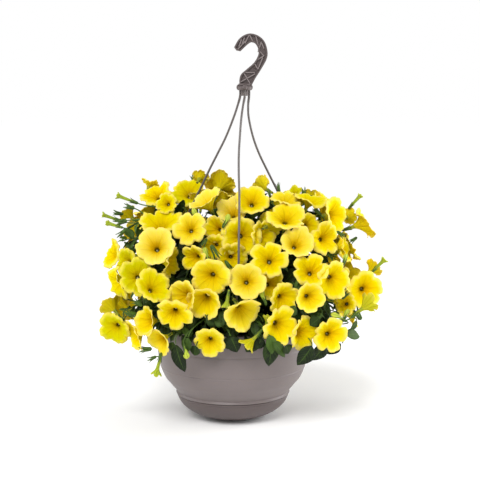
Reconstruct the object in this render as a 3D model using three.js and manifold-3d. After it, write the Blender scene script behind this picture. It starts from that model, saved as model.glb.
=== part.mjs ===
// Petunia hanging basket: a round plastic bowl on a clip-under drip saucer, filled with potting
// soil and planted with petunias, on a hanger of three plastic strands and one wide hook.
// Millimetres, +Z up. The origin is the centre of the saucer's flat base, on the pot's own axis.
// The front is -Y. An azimuth is counted from the front towards +X.
import * as THREE from 'three';
import { mergeVertices } from 'three/addons/utils/BufferGeometryUtils.js';
import Module from 'manifold-3d';

const wasm = await Module();
wasm.setup();

// ---------- driving dimensions ----------
const GAP = 0.35; // air between two pieces that touch
const OVERSHOOT = 2; // how far a cutting post reaches past the wall that it cuts
const LATHE_SIDES = 36;

const SAUCER = { height: 42.7, topRadius: 99.6, baseRadius: 30.8, wall: 1.8, roundness: 1.81, steps: 7 };
const BOWL = {
  lipRadius: 102, lipHeight: 43, lipRound: 1.6, neckRadius: 100.1, neckHeight: 48, wall: 2, rimHeight: 172.4,
};
const RIM_FLANGE = { radius: 144.6, thickness: 2.4 };
const BOWL_FOOT = { shelfRadius: 92, shoulderRadius: 88, shoulderHeight: 34, radius: 68, height: 17 };
const DRAIN = { count: 6, radius: 4, ring: 46, sides: 8 };
const SOIL = { edgeHeight: 155, crownHeight: 162, shoulderHeight: 159.7, shoulder: 0.55 };

// The bowl's belly, from above the neck over its lower lip to below its rim: [radius, height].
const BELLY = [
  [101.5, 50], [104.9, 54], [109.3, 59], [114.1, 65], [120.1, 72], [124.5, 80], [128.6, 90], [131.7, 102],
  [134.2, 118], [136, 135], [137.2, 150],
];

const HOOK = { thickness: 12, bevel: 1.6, curveSteps: 22 };
// The hook is a wide flat question mark, as [across, height]: its outer edge from the tip over the
// crook and down to the collar, then its inner edge back up to the tip.
const HOOK_OUTER = [
  [2.4, 655.7], [10.2, 669], [20.2, 676.7], [31.3, 679.5], [44.7, 675.6], [55.8, 665.1],
  [60.8, 647.9], [58.9, 634.6], [49.1, 616.9], [40.2, 603], [33.2, 590],
];
const HOOK_INNER = [
  [12.4, 590], [11.6, 599.1], [14.6, 609.1], [24.6, 618.2], [36.9, 629.1], [44.1, 641.2],
  [45, 651.2], [40.2, 661.2], [33.6, 664.5], [26.9, 661.4], [13.5, 649],
];
const HOOK_TIP = [6.6, 650.2];
const COLLAR = {
  x: 21, bottom: 581.4, top: 593.4, radius: 12.2, sides: 24, earRadius: 4.9, earRing: 11, earTop: 591.4,
  earSides: 12,
};
const CORE = { radius: 6.4, bottom: 572, sides: 16 };
const STRAND = {
  radius: 1.95, sides: 8, steps: 28, ring: 9, socketRadius: 2.5, socketDepth: 6, firstAzimuth: 0.8, count: 3,
};
const STRAND_FOOT = { ring: 140.8, holeRadius: 2.4, sides: 10, knobRadius: 3.3, knobHeight: 6, inKnob: 2 };

// How each strand bows out from the collar to the rim: [height, distance from the hanger's middle
// line, how far that line leans from the pot's axis towards +X].
const STRAND_ROUTE = [
  [587, 9, 21], [572, 9, 21], [555, 10.7, 18], [533, 15.6, 14.9], [500, 27.5, 12.1], [470, 42.4, 10.2],
  [440, 59.5, 9.9], [407, 77.9, 10.5], [380, 93.1, 10.3], [350, 108.8, 9.7], [320, 121.6, 9.1],
  [285, 132, 8.4], [250, 138.3, 6.3], [215, 141, 3.2], [185, 141, 0.3],
];

// The photograph's view: a camera in front of the pot that looks a little down.
const VIEW = { distance: 2200, lookDown: 7.352, aimHeight: 317.5, aside: 12.8, focal: 1238.7, middle: 240 };

// The mass of flowers, taken where the middles of their faces lie.
const MOUND = { middle: 240, rise: 178, side: 226, front: 170, back: 190, plan: 2.4, sideAside: 6 };

// ---------- the flowers ----------
// Each row is one flower: column and row of its face's middle in the 480 pixel photograph,
// diameter, turn (degrees that it faces towards +X, from the front), tilt (degrees that it faces up)
// and step (how far it stands in front of the mound's face; behind it where negative).
const FRONT_FLOWERS = [
  [155, 193, 58, -28, 48, -40],
  [188, 191, 64, -8, 42, -120],
  [221, 183.5, 56, 165, 35, -90],
  [233, 208, 60, -4, 50, -30],
  [252.5, 200.5, 62, 4, 34, 0],
  [286, 216, 66, 6, 50, 14],
  [311, 196, 42, 160, 40, -80],
  [336, 215, 66, 50, 6, 0],
  [365, 223, 62, 92, 18, 0],
  [189, 228, 58, -10, 24, 10],
  [155, 244, 72, -4, 28, 16],
  [160, 220, 74, -20, 68, -30],
  [241, 237, 70, 3, 4, -18],
  [297, 242, 58, 12, 32, 10],
  [326, 238, 60, 40, 12, -5],
  [270, 259, 68, 2, 22, 6],
  [209.5, 278, 70, -15, -8, 14],
  [247, 280, 64, 2, 19, 12],
  [311, 270, 62, 4, 28, 6],
  [334, 280, 62, 28, -8, 14],
  [366, 290, 64, 24, 4, 20],
  [111, 254, 56, -78, 10, -30],
  [115.5, 283, 64, -70, -10, 0],
  [137, 277, 66, 2, 12, 10],
  [154, 286, 62, 30, 36, 24],
  [182, 298, 60, -35, -4, 0],
  [173.5, 316, 64, -8, -24, 14],
  [244.5, 315, 62, 20, -30, 10],
  [281, 326, 68, 28, -5, 6],
  [331, 335, 62, 15, 5, 6],
  [209, 343.5, 58, -8, -20, -4],
  [114, 329, 56, -20, -15, 24],
];

// The far side carries flowers too: azimuth, height of the face's middle, diameter and tilt.
const BACK_FLOWERS = [
  [108, 292, 62, 12],
  [128, 205, 60, -8],
  [132, 345, 62, 34],
  [156, 262, 62, 8],
  [180, 325, 64, 26],
  [184, 206, 60, -10],
  [206, 268, 62, 10],
  [232, 205, 58, -8],
  [228, 348, 62, 32],
];

// Lengths along a flower's trumpet are fractions of its whole depth, which is `length` diameters.
const FLOWER = {
  sides: 10, notch: 0.85, length: 0.64, sheet: 1.3,
  stalkRadius: 1.7, neckRadius: 3.4, neckAt: 0.8, throatRadius: 5.6, throatAt: 0.3, floorAt: 0.55,
};

const SHOOT = {
  count: 12, stemRadius: 2.3, stemSides: 5, trailingSteps: 7, uprightSteps: 3,
  twigRadius: 1.4, twigSides: 4, twigSteps: 2, twigBend: 9, twigEnd: 1.5,
};
// Twigs may leave the stems at these places: so many along each, from the first free one.
const TWIG_PLACES = { trailing: 24, firstFree: 4, upright: 16 };
// A trailing stem and an upright one leave each root: [distance from the axis, height].
const TRAILING_STEM = [[42, 152], [50, 205], [82, 246], [128, 244], [158, 214], [172, 184]];
const UPRIGHT_STEM = [[48, 200], [56, 262], [66, 318], [70, 352]];
const LEAF = { length: 38, width: 22, thickness: 1.2, stalkWidth: 2.4, widest: 0.42, swing: 52, lean: 0.4 };
// A shoot's leaves: the stem that each grows from, how far along it, and how much it rises.
const LEAF_PLACES = [
  ['trailing', 0.45, -0.25], ['trailing', 0.62, -0.4], ['trailing', 0.79, -0.55], ['trailing', 0.96, -0.7],
  ['upright', 0.4, 0.35], ['upright', 0.85, 0.35],
];

// ---------- colours ----------
const POT_PLASTIC = { color: 0x8a807d, roughness: 0.55, metalness: 0 };
const SAUCER_PLASTIC = { color: 0x6e625f, roughness: 0.6, metalness: 0 };
const HOOK_PLASTIC = { color: 0x5f5552, roughness: 0.5, metalness: 0 };
const STRAND_PLASTIC = { color: 0x857a78, roughness: 0.45, metalness: 0 };
const SOIL_LOOK = { color: 0x2b211a, roughness: 1, metalness: 0 };
const LEAF_GREEN = { color: 0x2f4a2a, roughness: 0.7, metalness: 0 };
const PETAL_YELLOW = { color: 0xf6d61c, roughness: 0.6, metalness: 0 };

// ---------- helpers ----------
const radians = THREE.MathUtils.degToRad;

function outward(azimuth) {
  return new THREE.Vector3(Math.sin(radians(azimuth)), -Math.cos(radians(azimuth)), 0);
}

function alongAzimuth(azimuth, distance, height) {
  return outward(azimuth).multiplyScalar(distance).setZ(height);
}

// A closed mesh as a solid that can be cut and joined.
function solidOf(geometry) {
  const bare = geometry.clone();
  bare.deleteAttribute('normal');
  bare.deleteAttribute('uv');
  const merged = mergeVertices(bare, 1e-3);
  const mesh = new wasm.Mesh({
    numProp: 3,
    vertProperties: new Float32Array(merged.attributes.position.array),
    triVerts: new Uint32Array(merged.index.array),
  });
  return new wasm.Manifold(mesh);
}

function geometryOf(solid) {
  const { vertProperties, triVerts } = solid.getMesh();
  const geometry = new THREE.BufferGeometry();
  geometry.setAttribute('position', new THREE.BufferAttribute(new Float32Array(vertProperties), 3));
  geometry.setIndex(new THREE.BufferAttribute(new Uint32Array(triVerts), 1));
  geometry.computeVertexNormals();
  return geometry;
}

function largestBody(solid) {
  const bodies = solid.decompose();
  return bodies.reduce((best, body) => (body.volume() > best.volume() ? body : best));
}

// A solid of revolution about Z. The profile is a closed outline of [radius, height], listed
// anticlockwise as seen with the radius to the right and the height up.
function turned(profile, sides = LATHE_SIDES) {
  const points = profile.map(([radius, height]) => new THREE.Vector2(radius, height));
  if (points[0].x > 0) {
    points.push(points[0].clone());
  }
  return new THREE.LatheGeometry(points, sides).rotateX(Math.PI / 2);
}

function polygon(sides, radius) {
  const corners = [];
  for (let i = 0; i < sides; i++) {
    const angle = (2 * Math.PI * i) / sides;
    corners.push(new THREE.Vector2(radius * Math.cos(angle), radius * Math.sin(angle)));
  }
  return new THREE.Shape(corners);
}

function tube(points, radius, sides, steps) {
  const extrudePath = new THREE.CatmullRomCurve3(points);
  return new THREE.ExtrudeGeometry(polygon(sides, radius), { steps, extrudePath });
}

function post(x, y, bottom, top, radius, sides) {
  const geometry = new THREE.CylinderGeometry(radius, radius, top - bottom, sides);
  return geometry.rotateX(Math.PI / 2).translate(x, y, (bottom + top) / 2);
}

// ---------- pot ----------
// A quarter of a superellipse from the top edge of the saucer to its flat base.
function saucerWall(inset) {
  const wall = [];
  const power = 2 / SAUCER.roundness;
  for (let i = 0; i <= SAUCER.steps; i++) {
    const angle = (Math.PI / 2) * (i / SAUCER.steps);
    const flare = Math.pow(Math.cos(angle), power);
    const depth = Math.pow(Math.sin(angle), power);
    const radius = SAUCER.baseRadius + (SAUCER.topRadius - SAUCER.baseRadius) * flare - inset;
    wall.push([radius, SAUCER.height + (inset - SAUCER.height) * depth]);
  }
  return wall;
}

function dripSaucer() {
  const outside = saucerWall(0);
  const inside = saucerWall(SAUCER.wall);
  return turned([[0, 0], ...outside.reverse(), ...inside, [0, SAUCER.wall]]);
}

function footProfile(inset, lift) {
  return [
    [BOWL_FOOT.shelfRadius - inset, BOWL.lipHeight + lift],
    [BOWL_FOOT.shoulderRadius - inset, BOWL_FOOT.shoulderHeight + lift],
    [BOWL_FOOT.radius - inset, BOWL_FOOT.height + lift],
    [0, BOWL_FOOT.height + lift],
  ];
}

function bellyInside(inset) {
  return BELLY.map(([radius, height]) => [radius - inset, height]);
}

function potBowl() {
  const underRim = BOWL.rimHeight - RIM_FLANGE.thickness;
  const outerRadius = BELLY.at(-1)[0];
  const outside = [
    ...footProfile(0, 0).reverse(),
    [BOWL.lipRadius - BOWL.lipRound, BOWL.lipHeight],
    [BOWL.lipRadius, BOWL.lipHeight + BOWL.lipRound],
    [BOWL.neckRadius, BOWL.neckHeight],
    ...BELLY,
    [outerRadius, underRim],
    [RIM_FLANGE.radius, underRim],
    [RIM_FLANGE.radius, BOWL.rimHeight],
    [outerRadius - BOWL.wall, BOWL.rimHeight],
  ];
  const inside = [
    ...bellyInside(BOWL.wall).reverse(),
    [BOWL.neckRadius - BOWL.wall, BOWL.neckHeight],
    ...footProfile(BOWL.wall, BOWL.wall),
  ];
  let bowl = solidOf(turned([...outside, ...inside]));
  for (let i = 0; i < DRAIN.count; i++) {
    const place = alongAzimuth((360 * i) / DRAIN.count, DRAIN.ring, 0);
    const hole = post(place.x, place.y, 0, BOWL.lipHeight, DRAIN.radius, DRAIN.sides);
    bowl = bowl.subtract(solidOf(hole));
  }
  for (const azimuth of strandAzimuths()) {
    const place = alongAzimuth(azimuth, STRAND_FOOT.ring, 0);
    const hole = post(place.x, place.y, underRim - OVERSHOOT, BOWL.rimHeight + OVERSHOOT,
      STRAND_FOOT.holeRadius, STRAND_FOOT.sides);
    bowl = bowl.subtract(solidOf(hole));
  }
  return bowl;
}

function pottingSoil(grow = 0) {
  const inset = BOWL.wall + GAP;
  const lift = BOWL.wall + GAP;
  const wallRadius = BELLY.at(-1)[0] - inset;
  const everyOther = bellyInside(inset).filter((_, i) => i % 2 === 0);
  return turned([
    ...footProfile(inset, lift).reverse(),
    [BOWL.neckRadius - inset, BOWL.neckHeight + GAP],
    ...everyOther,
    [wallRadius, SOIL.edgeHeight + grow],
    [wallRadius * SOIL.shoulder, SOIL.shoulderHeight + grow],
    [0, SOIL.crownHeight + grow],
  ]);
}

// ---------- hanger ----------
function strandAzimuths() {
  const azimuths = [];
  for (let i = 0; i < STRAND.count; i++) {
    azimuths.push(STRAND.firstAzimuth + (360 * i) / STRAND.count);
  }
  return azimuths;
}

function splinePoints(places, steps) {
  return new THREE.SplineCurve(places.map(([x, z]) => new THREE.Vector2(x, z))).getPoints(steps);
}

function hookOutline() {
  const outer = splinePoints(HOOK_OUTER, HOOK.curveSteps);
  const inner = splinePoints(HOOK_INNER, HOOK.curveSteps);
  return new THREE.Shape([...outer, ...inner, new THREE.Vector2(...HOOK_TIP)]);
}

function hangerHook() {
  const flat = HOOK.thickness - 2 * HOOK.bevel;
  const blade = new THREE.ExtrudeGeometry(hookOutline(), {
    depth: flat,
    bevelEnabled: true,
    bevelThickness: HOOK.bevel,
    bevelSize: HOOK.bevel,
    bevelOffset: -HOOK.bevel,
    bevelSegments: 1,
  });
  blade.rotateX(Math.PI / 2).translate(0, flat / 2, 0);
  let hook = solidOf(blade);
  hook = hook.add(solidOf(post(COLLAR.x, 0, COLLAR.bottom, COLLAR.top, COLLAR.radius, COLLAR.sides)));
  hook = hook.add(solidOf(post(COLLAR.x, 0, CORE.bottom, COLLAR.top, CORE.radius, CORE.sides)));
  for (const azimuth of strandAzimuths()) {
    const ear = alongAzimuth(azimuth, COLLAR.earRing, 0);
    hook = hook.add(solidOf(
      post(COLLAR.x + ear.x, ear.y, COLLAR.bottom, COLLAR.earTop, COLLAR.earRadius, COLLAR.earSides)));
    const socket = alongAzimuth(azimuth, STRAND.ring, 0);
    hook = hook.subtract(solidOf(
      post(COLLAR.x + socket.x, socket.y, CORE.bottom, COLLAR.bottom + STRAND.socketDepth,
        STRAND.socketRadius, STRAND_FOOT.sides)));
  }
  return hook;
}

// A strand with the moulded knob that holds it under the rim.
function strand(azimuth, grow = 0) {
  const top = COLLAR.bottom + STRAND.socketDepth - GAP;
  const route = STRAND_ROUTE.map(([height, distance, lean], i) => {
    const place = alongAzimuth(azimuth, distance, i === 0 ? top : height);
    place.x += lean;
    return place;
  });
  const underRim = BOWL.rimHeight - RIM_FLANGE.thickness;
  const knobTop = underRim - GAP;
  route.push(alongAzimuth(azimuth, STRAND_FOOT.ring, knobTop - STRAND_FOOT.inKnob));
  const cord = solidOf(tube(route, STRAND.radius + grow, STRAND.sides, STRAND.steps));
  const place = alongAzimuth(azimuth, STRAND_FOOT.ring, 0);
  const knob = post(place.x, place.y, knobTop - STRAND_FOOT.knobHeight, knobTop,
    STRAND_FOOT.knobRadius + grow, STRAND_FOOT.sides);
  return cord.add(solidOf(knob));
}

// ---------- flowers ----------
// The point that the photograph shows at a pixel, at a given distance in front of the pot's axis.
function seenAt(column, row, y) {
  const down = radians(VIEW.lookDown);
  const forward = new THREE.Vector3(0, Math.cos(down), -Math.sin(down));
  const up = new THREE.Vector3(0, Math.sin(down), Math.cos(down));
  const eye = new THREE.Vector3(VIEW.aside, 0, VIEW.aimHeight).addScaledVector(forward, -VIEW.distance);
  const sight = forward.clone();
  sight.x += (column - VIEW.middle) / VIEW.focal;
  sight.addScaledVector(up, (VIEW.middle - row) / VIEW.focal);
  return eye.addScaledVector(sight, (y - eye.y) / sight.y);
}

// How far the mound reaches in front of the pot's axis at a place across and a height.
function moundFront(x, height) {
  const rise = THREE.MathUtils.clamp((height - MOUND.middle) / MOUND.rise, 0, 1);
  const front = MOUND.front * Math.sqrt(1 - rise);
  const side = MOUND.side * Math.cbrt(1 - rise ** 3);
  const across = Math.min(Math.abs(x - MOUND.sideAside) / side, 1);
  return front * Math.pow(1 - across ** MOUND.plan, 1 / MOUND.plan);
}

function facing(turn, tilt) {
  return outward(turn).multiplyScalar(Math.cos(radians(tilt))).setZ(Math.sin(radians(tilt)));
}

function frontFlower([column, row, diameter, turn, tilt, step]) {
  let place = seenAt(column, row, 0);
  for (let i = 0; i < 6; i++) {
    place = seenAt(column, row, -moundFront(place.x, place.z) - step);
  }
  return { place, diameter, axis: facing(turn, tilt) };
}

function backFlower([azimuth, height, diameter, tilt]) {
  const rise = THREE.MathUtils.clamp((height - MOUND.middle) / MOUND.rise, 0, 1);
  const ahead = outward(azimuth);
  const side = MOUND.side * Math.cbrt(1 - rise ** 3);
  const back = MOUND.back * Math.sqrt(1 - rise ** 2);
  const reach = 1 / Math.hypot(ahead.x / side, ahead.y / back);
  return { place: alongAzimuth(azimuth, reach, height), diameter, axis: facing(azimuth, tilt) };
}

// A trumpet whose face has five lobes. Its own +Z is the way it faces, and its origin is the
// middle of its face.
function trumpet(diameter, grow = 0) {
  const { sides, notch, stalkRadius, neckRadius, throatRadius, sheet } = FLOWER;
  const depth = diameter * FLOWER.length;
  const rings = [
    [stalkRadius + grow, -depth - grow],
    [neckRadius + grow, -depth * FLOWER.neckAt],
    [throatRadius + sheet + grow, -depth * FLOWER.throatAt],
    ['rim', -sheet / 2 - grow],
    ['rim', sheet / 2 + grow],
    [throatRadius - grow, -depth * FLOWER.throatAt + sheet],
  ];
  const corners = [];
  for (const [radius, z] of rings) {
    for (let i = 0; i < sides; i++) {
      const lobe = i % 2 ? notch : 1;
      const reach = radius === 'rim' ? (diameter / 2) * lobe + grow : radius;
      const angle = (2 * Math.PI * i) / sides;
      corners.push(reach * Math.cos(angle), reach * Math.sin(angle), z);
    }
  }
  const bottom = corners.length / 3;
  corners.push(0, 0, -depth - grow);
  corners.push(0, 0, -depth * FLOWER.floorAt + grow);
  const faces = [];
  for (let i = 0; i < sides; i++) {
    const next = (i + 1) % sides;
    faces.push(bottom, next, i);
    for (let ring = 0; ring + 1 < rings.length; ring++) {
      const low = ring * sides;
      const high = low + sides;
      faces.push(low + i, low + next, high + next);
      faces.push(low + i, high + next, high + i);
    }
    const last = (rings.length - 1) * sides;
    faces.push(last + i, last + next, bottom + 1);
  }
  const geometry = new THREE.BufferGeometry();
  geometry.setAttribute('position', new THREE.Float32BufferAttribute(corners, 3));
  geometry.setIndex(faces);
  return geometry;
}

function flowerMatrix({ place, axis }) {
  const turn = new THREE.Quaternion().setFromUnitVectors(new THREE.Vector3(0, 0, 1), axis);
  return new THREE.Matrix4().compose(place, turn, new THREE.Vector3(1, 1, 1));
}

function stalkEnd({ place, axis, diameter }) {
  return place.clone().addScaledVector(axis, -diameter * FLOWER.length);
}

// ---------- shoots ----------
function stemRoute(profile, azimuth) {
  return profile.map(([distance, height]) => alongAzimuth(azimuth, distance, height));
}

// A pointed oval leaf with its base at a place, pointing one way and lying square to another.
function leaf(base, along, normal) {
  const outline = new THREE.Shape([
    new THREE.Vector2(0, -LEAF.stalkWidth / 2),
    new THREE.Vector2(LEAF.length * LEAF.widest, -LEAF.width / 2),
    new THREE.Vector2(LEAF.length, 0),
    new THREE.Vector2(LEAF.length * LEAF.widest, LEAF.width / 2),
    new THREE.Vector2(0, LEAF.stalkWidth / 2),
  ]);
  const blade = new THREE.ExtrudeGeometry(outline, { depth: LEAF.thickness, bevelEnabled: false });
  const side = new THREE.Vector3().crossVectors(normal, along).normalize();
  const up = new THREE.Vector3().crossVectors(along, side).normalize();
  const frame = new THREE.Matrix4().makeBasis(along.clone().normalize(), side, up);
  return blade.applyMatrix4(frame).translate(base.x, base.y, base.z);
}

function nearestOn(samples, target) {
  return samples.reduce((best, point) => (
    point.distanceTo(target) < best.distanceTo(target) ? point : best));
}

// One rooted shoot: its trailing and upright stems, a twig to each flower and its leaves.
function shoot(azimuth, flowers) {
  const stems = {
    trailing: stemRoute(TRAILING_STEM, azimuth),
    upright: stemRoute(UPRIGHT_STEM, azimuth),
  };
  const { stemRadius, stemSides, trailingSteps, uprightSteps } = SHOOT;
  let plant = solidOf(tube(stems.trailing, stemRadius, stemSides, trailingSteps));
  plant = plant.add(solidOf(tube(stems.upright, stemRadius, stemSides, uprightSteps)));
  const trailing = new THREE.CatmullRomCurve3(stems.trailing).getPoints(TWIG_PLACES.trailing);
  const upright = new THREE.CatmullRomCurve3(stems.upright).getPoints(TWIG_PLACES.upright);
  const samples = [...trailing.slice(TWIG_PLACES.firstFree), ...upright];
  for (const flower of flowers) {
    const end = stalkEnd(flower);
    const behind = end.clone().addScaledVector(flower.axis, -SHOOT.twigBend);
    const from = nearestOn(samples, behind);
    const reach = end.clone().addScaledVector(flower.axis, SHOOT.twigEnd);
    const twig = tube([from, behind, reach], SHOOT.twigRadius, SHOOT.twigSides, SHOOT.twigSteps);
    plant = plant.add(solidOf(twig));
  }
  LEAF_PLACES.forEach(([stem, fraction, rise], i) => {
    const base = new THREE.CatmullRomCurve3(stems[stem]).getPointAt(fraction);
    const swing = i % 2 ? LEAF.swing : -LEAF.swing;
    const along = outward(azimuth + swing).setZ(rise).normalize();
    const normal = new THREE.Vector3(0, 0, 1).addScaledVector(outward(azimuth), LEAF.lean);
    plant = plant.add(solidOf(leaf(base, along, normal)));
  });
  return plant;
}

// ---------- assembly ----------
const basket = new THREE.Group();
basket.name = 'petunia_hanging_basket';

function place(name, geometry, look, parent = basket) {
  const mesh = new THREE.Mesh(geometry, new THREE.MeshStandardMaterial(look));
  mesh.name = name;
  parent.add(mesh);
  return mesh;
}

const pot = new THREE.Group();
basket.add(pot);
const bowl = potBowl();
place('drip_saucer', dripSaucer(), SAUCER_PLASTIC, pot);
place('pot_bowl', geometryOf(bowl), POT_PLASTIC, pot);
place('potting_soil', pottingSoil(), SOIL_LOOK, pot);

const hanger = new THREE.Group();
basket.add(hanger);
place('hanger_hook', geometryOf(hangerHook()), HOOK_PLASTIC, hanger);
const strandNames = ['strand_front', 'strand_right', 'strand_left'];
strandAzimuths().forEach((azimuth, i) => {
  place(strandNames[i], geometryOf(strand(azimuth)), STRAND_PLASTIC, hanger);
});

// Plants stay clear of the strands, of everything below the top of the rim outside the bowl, and
// of the soil.
function clearance() {
  const mouth = BELLY.at(-1)[0] - BOWL.wall - GAP;
  const belowRim = post(0, 0, 0, BOWL.rimHeight + GAP, RIM_FLANGE.radius, LATHE_SIDES);
  const insideBowl = post(0, 0, -OVERSHOOT, BOWL.rimHeight + OVERSHOOT, mouth, LATHE_SIDES);
  const strands = strandAzimuths().map((azimuth) => strand(azimuth, GAP));
  return wasm.Manifold.union([
    ...strands,
    solidOf(belowRim).subtract(solidOf(insideBowl)),
    solidOf(pottingSoil(GAP)),
  ]);
}

// Each flower is trimmed where it would touch what is already in place.
const flowers = [...FRONT_FLOWERS.map(frontFlower), ...BACK_FLOWERS.map(backFlower)];
const blooms = new THREE.Group();
basket.add(blooms);
let taken = clearance();
flowers.forEach((flower, i) => {
  const matrix = flowerMatrix(flower);
  const whole = solidOf(trumpet(flower.diameter).applyMatrix4(matrix));
  const trimmed = largestBody(whole.subtract(taken));
  const geometry = geometryOf(trimmed).applyMatrix4(matrix.clone().invert());
  const bloom = place(`flower_${String(i + 1).padStart(2, '0')}`, geometry, PETAL_YELLOW, blooms);
  bloom.applyMatrix4(matrix);
  taken = taken.add(solidOf(trumpet(flower.diameter, GAP).applyMatrix4(matrix)));
});

const plants = new THREE.Group();
basket.add(plants);
const sector = 360 / SHOOT.count;
for (let i = 0; i < SHOOT.count; i++) {
  const azimuth = sector * (i + 0.5);
  const own = flowers.filter((flower) => {
    const end = stalkEnd(flower);
    const around = (THREE.MathUtils.radToDeg(Math.atan2(end.x, -end.y)) + 360) % 360;
    return Math.floor(around / sector) === i;
  });
  const plant = largestBody(shoot(azimuth, own).subtract(taken));
  place(`shoot_${String(i + 1).padStart(2, '0')}`, geometryOf(plant), LEAF_GREEN, plants);
  taken = taken.add(solidOf(geometryOf(plant)));
}

export default basket;
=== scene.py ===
"""A petunia hanging basket: the looks of every piece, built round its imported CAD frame.

The pot, the soil, the hanger, the flowers, the shoots and the buds each have an operator, and so has
the stage. Settings are in metres; the lists of sizes and places are in millimetres, but where a comment
says metres. +Z is up, -Y is the front, and the origin is the middle of the saucer's flat base, on the
pot's own axis. An azimuth is counted from the front towards +X.
"""

import math
import random
from collections import namedtuple
from contextlib import contextmanager

import bmesh
import bpy
import numpy as np
from bpy.props import FloatProperty, FloatVectorProperty, IntProperty, PointerProperty
from bpy.types import Operator, Panel, PropertyGroup
from mathutils import Matrix, Vector


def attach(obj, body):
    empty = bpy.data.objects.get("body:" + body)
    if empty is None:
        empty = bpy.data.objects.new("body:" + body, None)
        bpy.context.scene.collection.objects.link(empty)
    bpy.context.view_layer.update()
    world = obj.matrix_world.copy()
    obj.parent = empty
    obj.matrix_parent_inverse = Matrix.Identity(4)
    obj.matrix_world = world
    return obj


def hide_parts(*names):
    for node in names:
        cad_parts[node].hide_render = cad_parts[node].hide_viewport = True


bl_info = {
    "name": "Petunia hanging basket",
    "version": (1, 0, 0),
    "blender": (4, 5, 0),
    "location": "3D View > Sidebar > Basket",
    "description": "Builds a flowering petunia basket with its pot and hanger",
    "category": "Add Mesh",
}

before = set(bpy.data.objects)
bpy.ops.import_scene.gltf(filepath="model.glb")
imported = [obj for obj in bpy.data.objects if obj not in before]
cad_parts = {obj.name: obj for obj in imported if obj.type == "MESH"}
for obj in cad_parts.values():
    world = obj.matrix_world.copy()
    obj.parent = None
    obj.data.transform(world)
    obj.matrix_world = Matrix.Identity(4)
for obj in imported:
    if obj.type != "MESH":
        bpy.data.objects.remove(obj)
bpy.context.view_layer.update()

MM = 0.001
UP = Vector((0, 0, 1))

# ---------- pot ----------
# The saucer: its wall bulges from the base's radius to the top's, and a band runs round its edge.
SAUCER = {
    "height": 42.7, "top": 99.6, "base": 30.8, "wall": 1.8, "roundness": 1.81, "steps": 22, "band": 3.6,
}
BOWL = {"wall": 2, "rim_height": 172.4}
# (radius, height) round the bead along the bowl's lower lip, from the saucer's edge to the belly
LIP_BEAD = [
    (98.4, 43), (100.4, 43.1), (101.6, 43.7), (102, 44.6), (101.7, 45.4), (100.9, 46.2), (100.2, 47.1),
    (100.1, 48),
]
RIM_FLANGE = {"radius": 144.6, "thickness": 2.4}
BOWL_FOOT = [(92, 43), (88, 34), (68, 17)]  # (radius, height) of the part that stands in the saucer
BELLY = [
    (101.5, 50), (104.9, 54), (109.3, 59), (114.1, 65), (120.1, 72), (124.5, 80), (128.6, 90), (131.7, 102),
    (134.2, 118), (136, 135), (137.2, 150),
]
GROOVES = [94.6, 133]  # heights of the fine lines that the mould leaves round the belly
DRAIN = {"count": 6, "radius": 4, "ring": 46, "bottom": 5, "top": 40}
# The soil's top, how far it keeps from the bowl's outline, its steps and, in metres, its lumps.
SOIL = {"edge": 155, "crown": 162, "inset": 2.35, "rings": 26, "sides": 120, "lumps": (-0.0011, 0.0014)}

# ---------- hanger ----------
# (across, height) along the hook's outline, clockwise: its outer side from the tip down, its inner side
# back up, and the middle of the tip's end.
HOOK_OUTER = [
    (2.4, 655.7), (10.2, 669), (20.2, 676.7), (31.3, 679.5), (44.7, 675.6), (55.8, 665.1),
    (60.8, 647.9), (58.9, 634.6), (49.1, 616.9), (40.2, 603), (33.2, 590),
]
HOOK_INNER = [
    (12.4, 590), (11.6, 599.1), (14.6, 609.1), (24.6, 618.2), (36.9, 629.1), (44.1, 641.2),
    (45, 651.2), (40.2, 661.2), (33.6, 664.5), (26.9, 661.4), (13.5, 649),
]
HOOK_TIP = (6.6, 650.2)
HOOK = {"thickness": 12, "bevel": 1.3, "border": 2.7, "recess": 2.8, "rib": 2, "rib_sink": 0.3}
# Crossed ribs in the hook's sunk faces: each from one (across, height) to another.
HOOK_RIBS = [
    ((18.6, 613.2), (32.2, 589.8)), ((13.2, 595.6), (39.2, 610.1)), ((21.6, 612.6), (38.6, 612.2)),
    ((37.4, 628.8), (44.4, 616.8)), ((52.2, 638.0), (43.6, 616.6)), ((42.8, 634.2), (53.6, 640.4)),
    ((44.2, 652.2), (54.6, 640.6)), ((49.6, 665.2), (44.2, 647.6)), ((49.4, 665.4), (54.4, 653.6)),
    ((36.0, 663.6), (29.1, 678.0)), ((21.6, 662.6), (29.1, 678.0)), ((40.2, 675.6), (44.6, 658.4)),
    ((8.4, 651.6), (22.6, 666.6)), ((15.4, 669.4), (11.0, 657.0)), ((20.8, 672.6), (16.0, 660.0)),
]
# The collar under the hook, with an ear over each strand, and the core that reaches down between them.
COLLAR = {"x": 21, "bottom": 581.4, "top": 593.4, "radius": 12.2, "ear_radius": 4.9, "ear_ring": 11}
CORE = {"radius": 6.4, "bottom": 572}
STRAND = {
    "radius": 1.95, "ring": 9, "socket_radius": 2.5, "socket_depth": 6, "first_azimuth": 0.8,
    "sleeve_radius": 2.2, "sleeve_end": 560,
}
STRAND_NAMES = ["strand_front", "strand_right", "strand_left"]
STRAND_FOOT = {"ring": 140.8, "hole_radius": 2.4, "knob_radius": 3.3, "knob_height": 6}
GAP = 0.35  # the air between two pieces that touch
# (height, distance from the hanger's middle line, how far that line leans towards +X)
STRAND_ROUTE = [
    (587, 9, 21), (572, 9, 21), (555, 10.7, 18), (533, 15.6, 14.9), (500, 27.5, 12.1), (470, 42.4, 10.2),
    (440, 59.5, 9.9), (407, 77.9, 10.5), (380, 93.1, 10.3), (350, 108.8, 9.7), (320, 121.6, 9.1),
    (285, 132, 8.4), (250, 138.3, 6.3), (215, 141, 3.2), (185, 141, 0.3),
]

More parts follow.
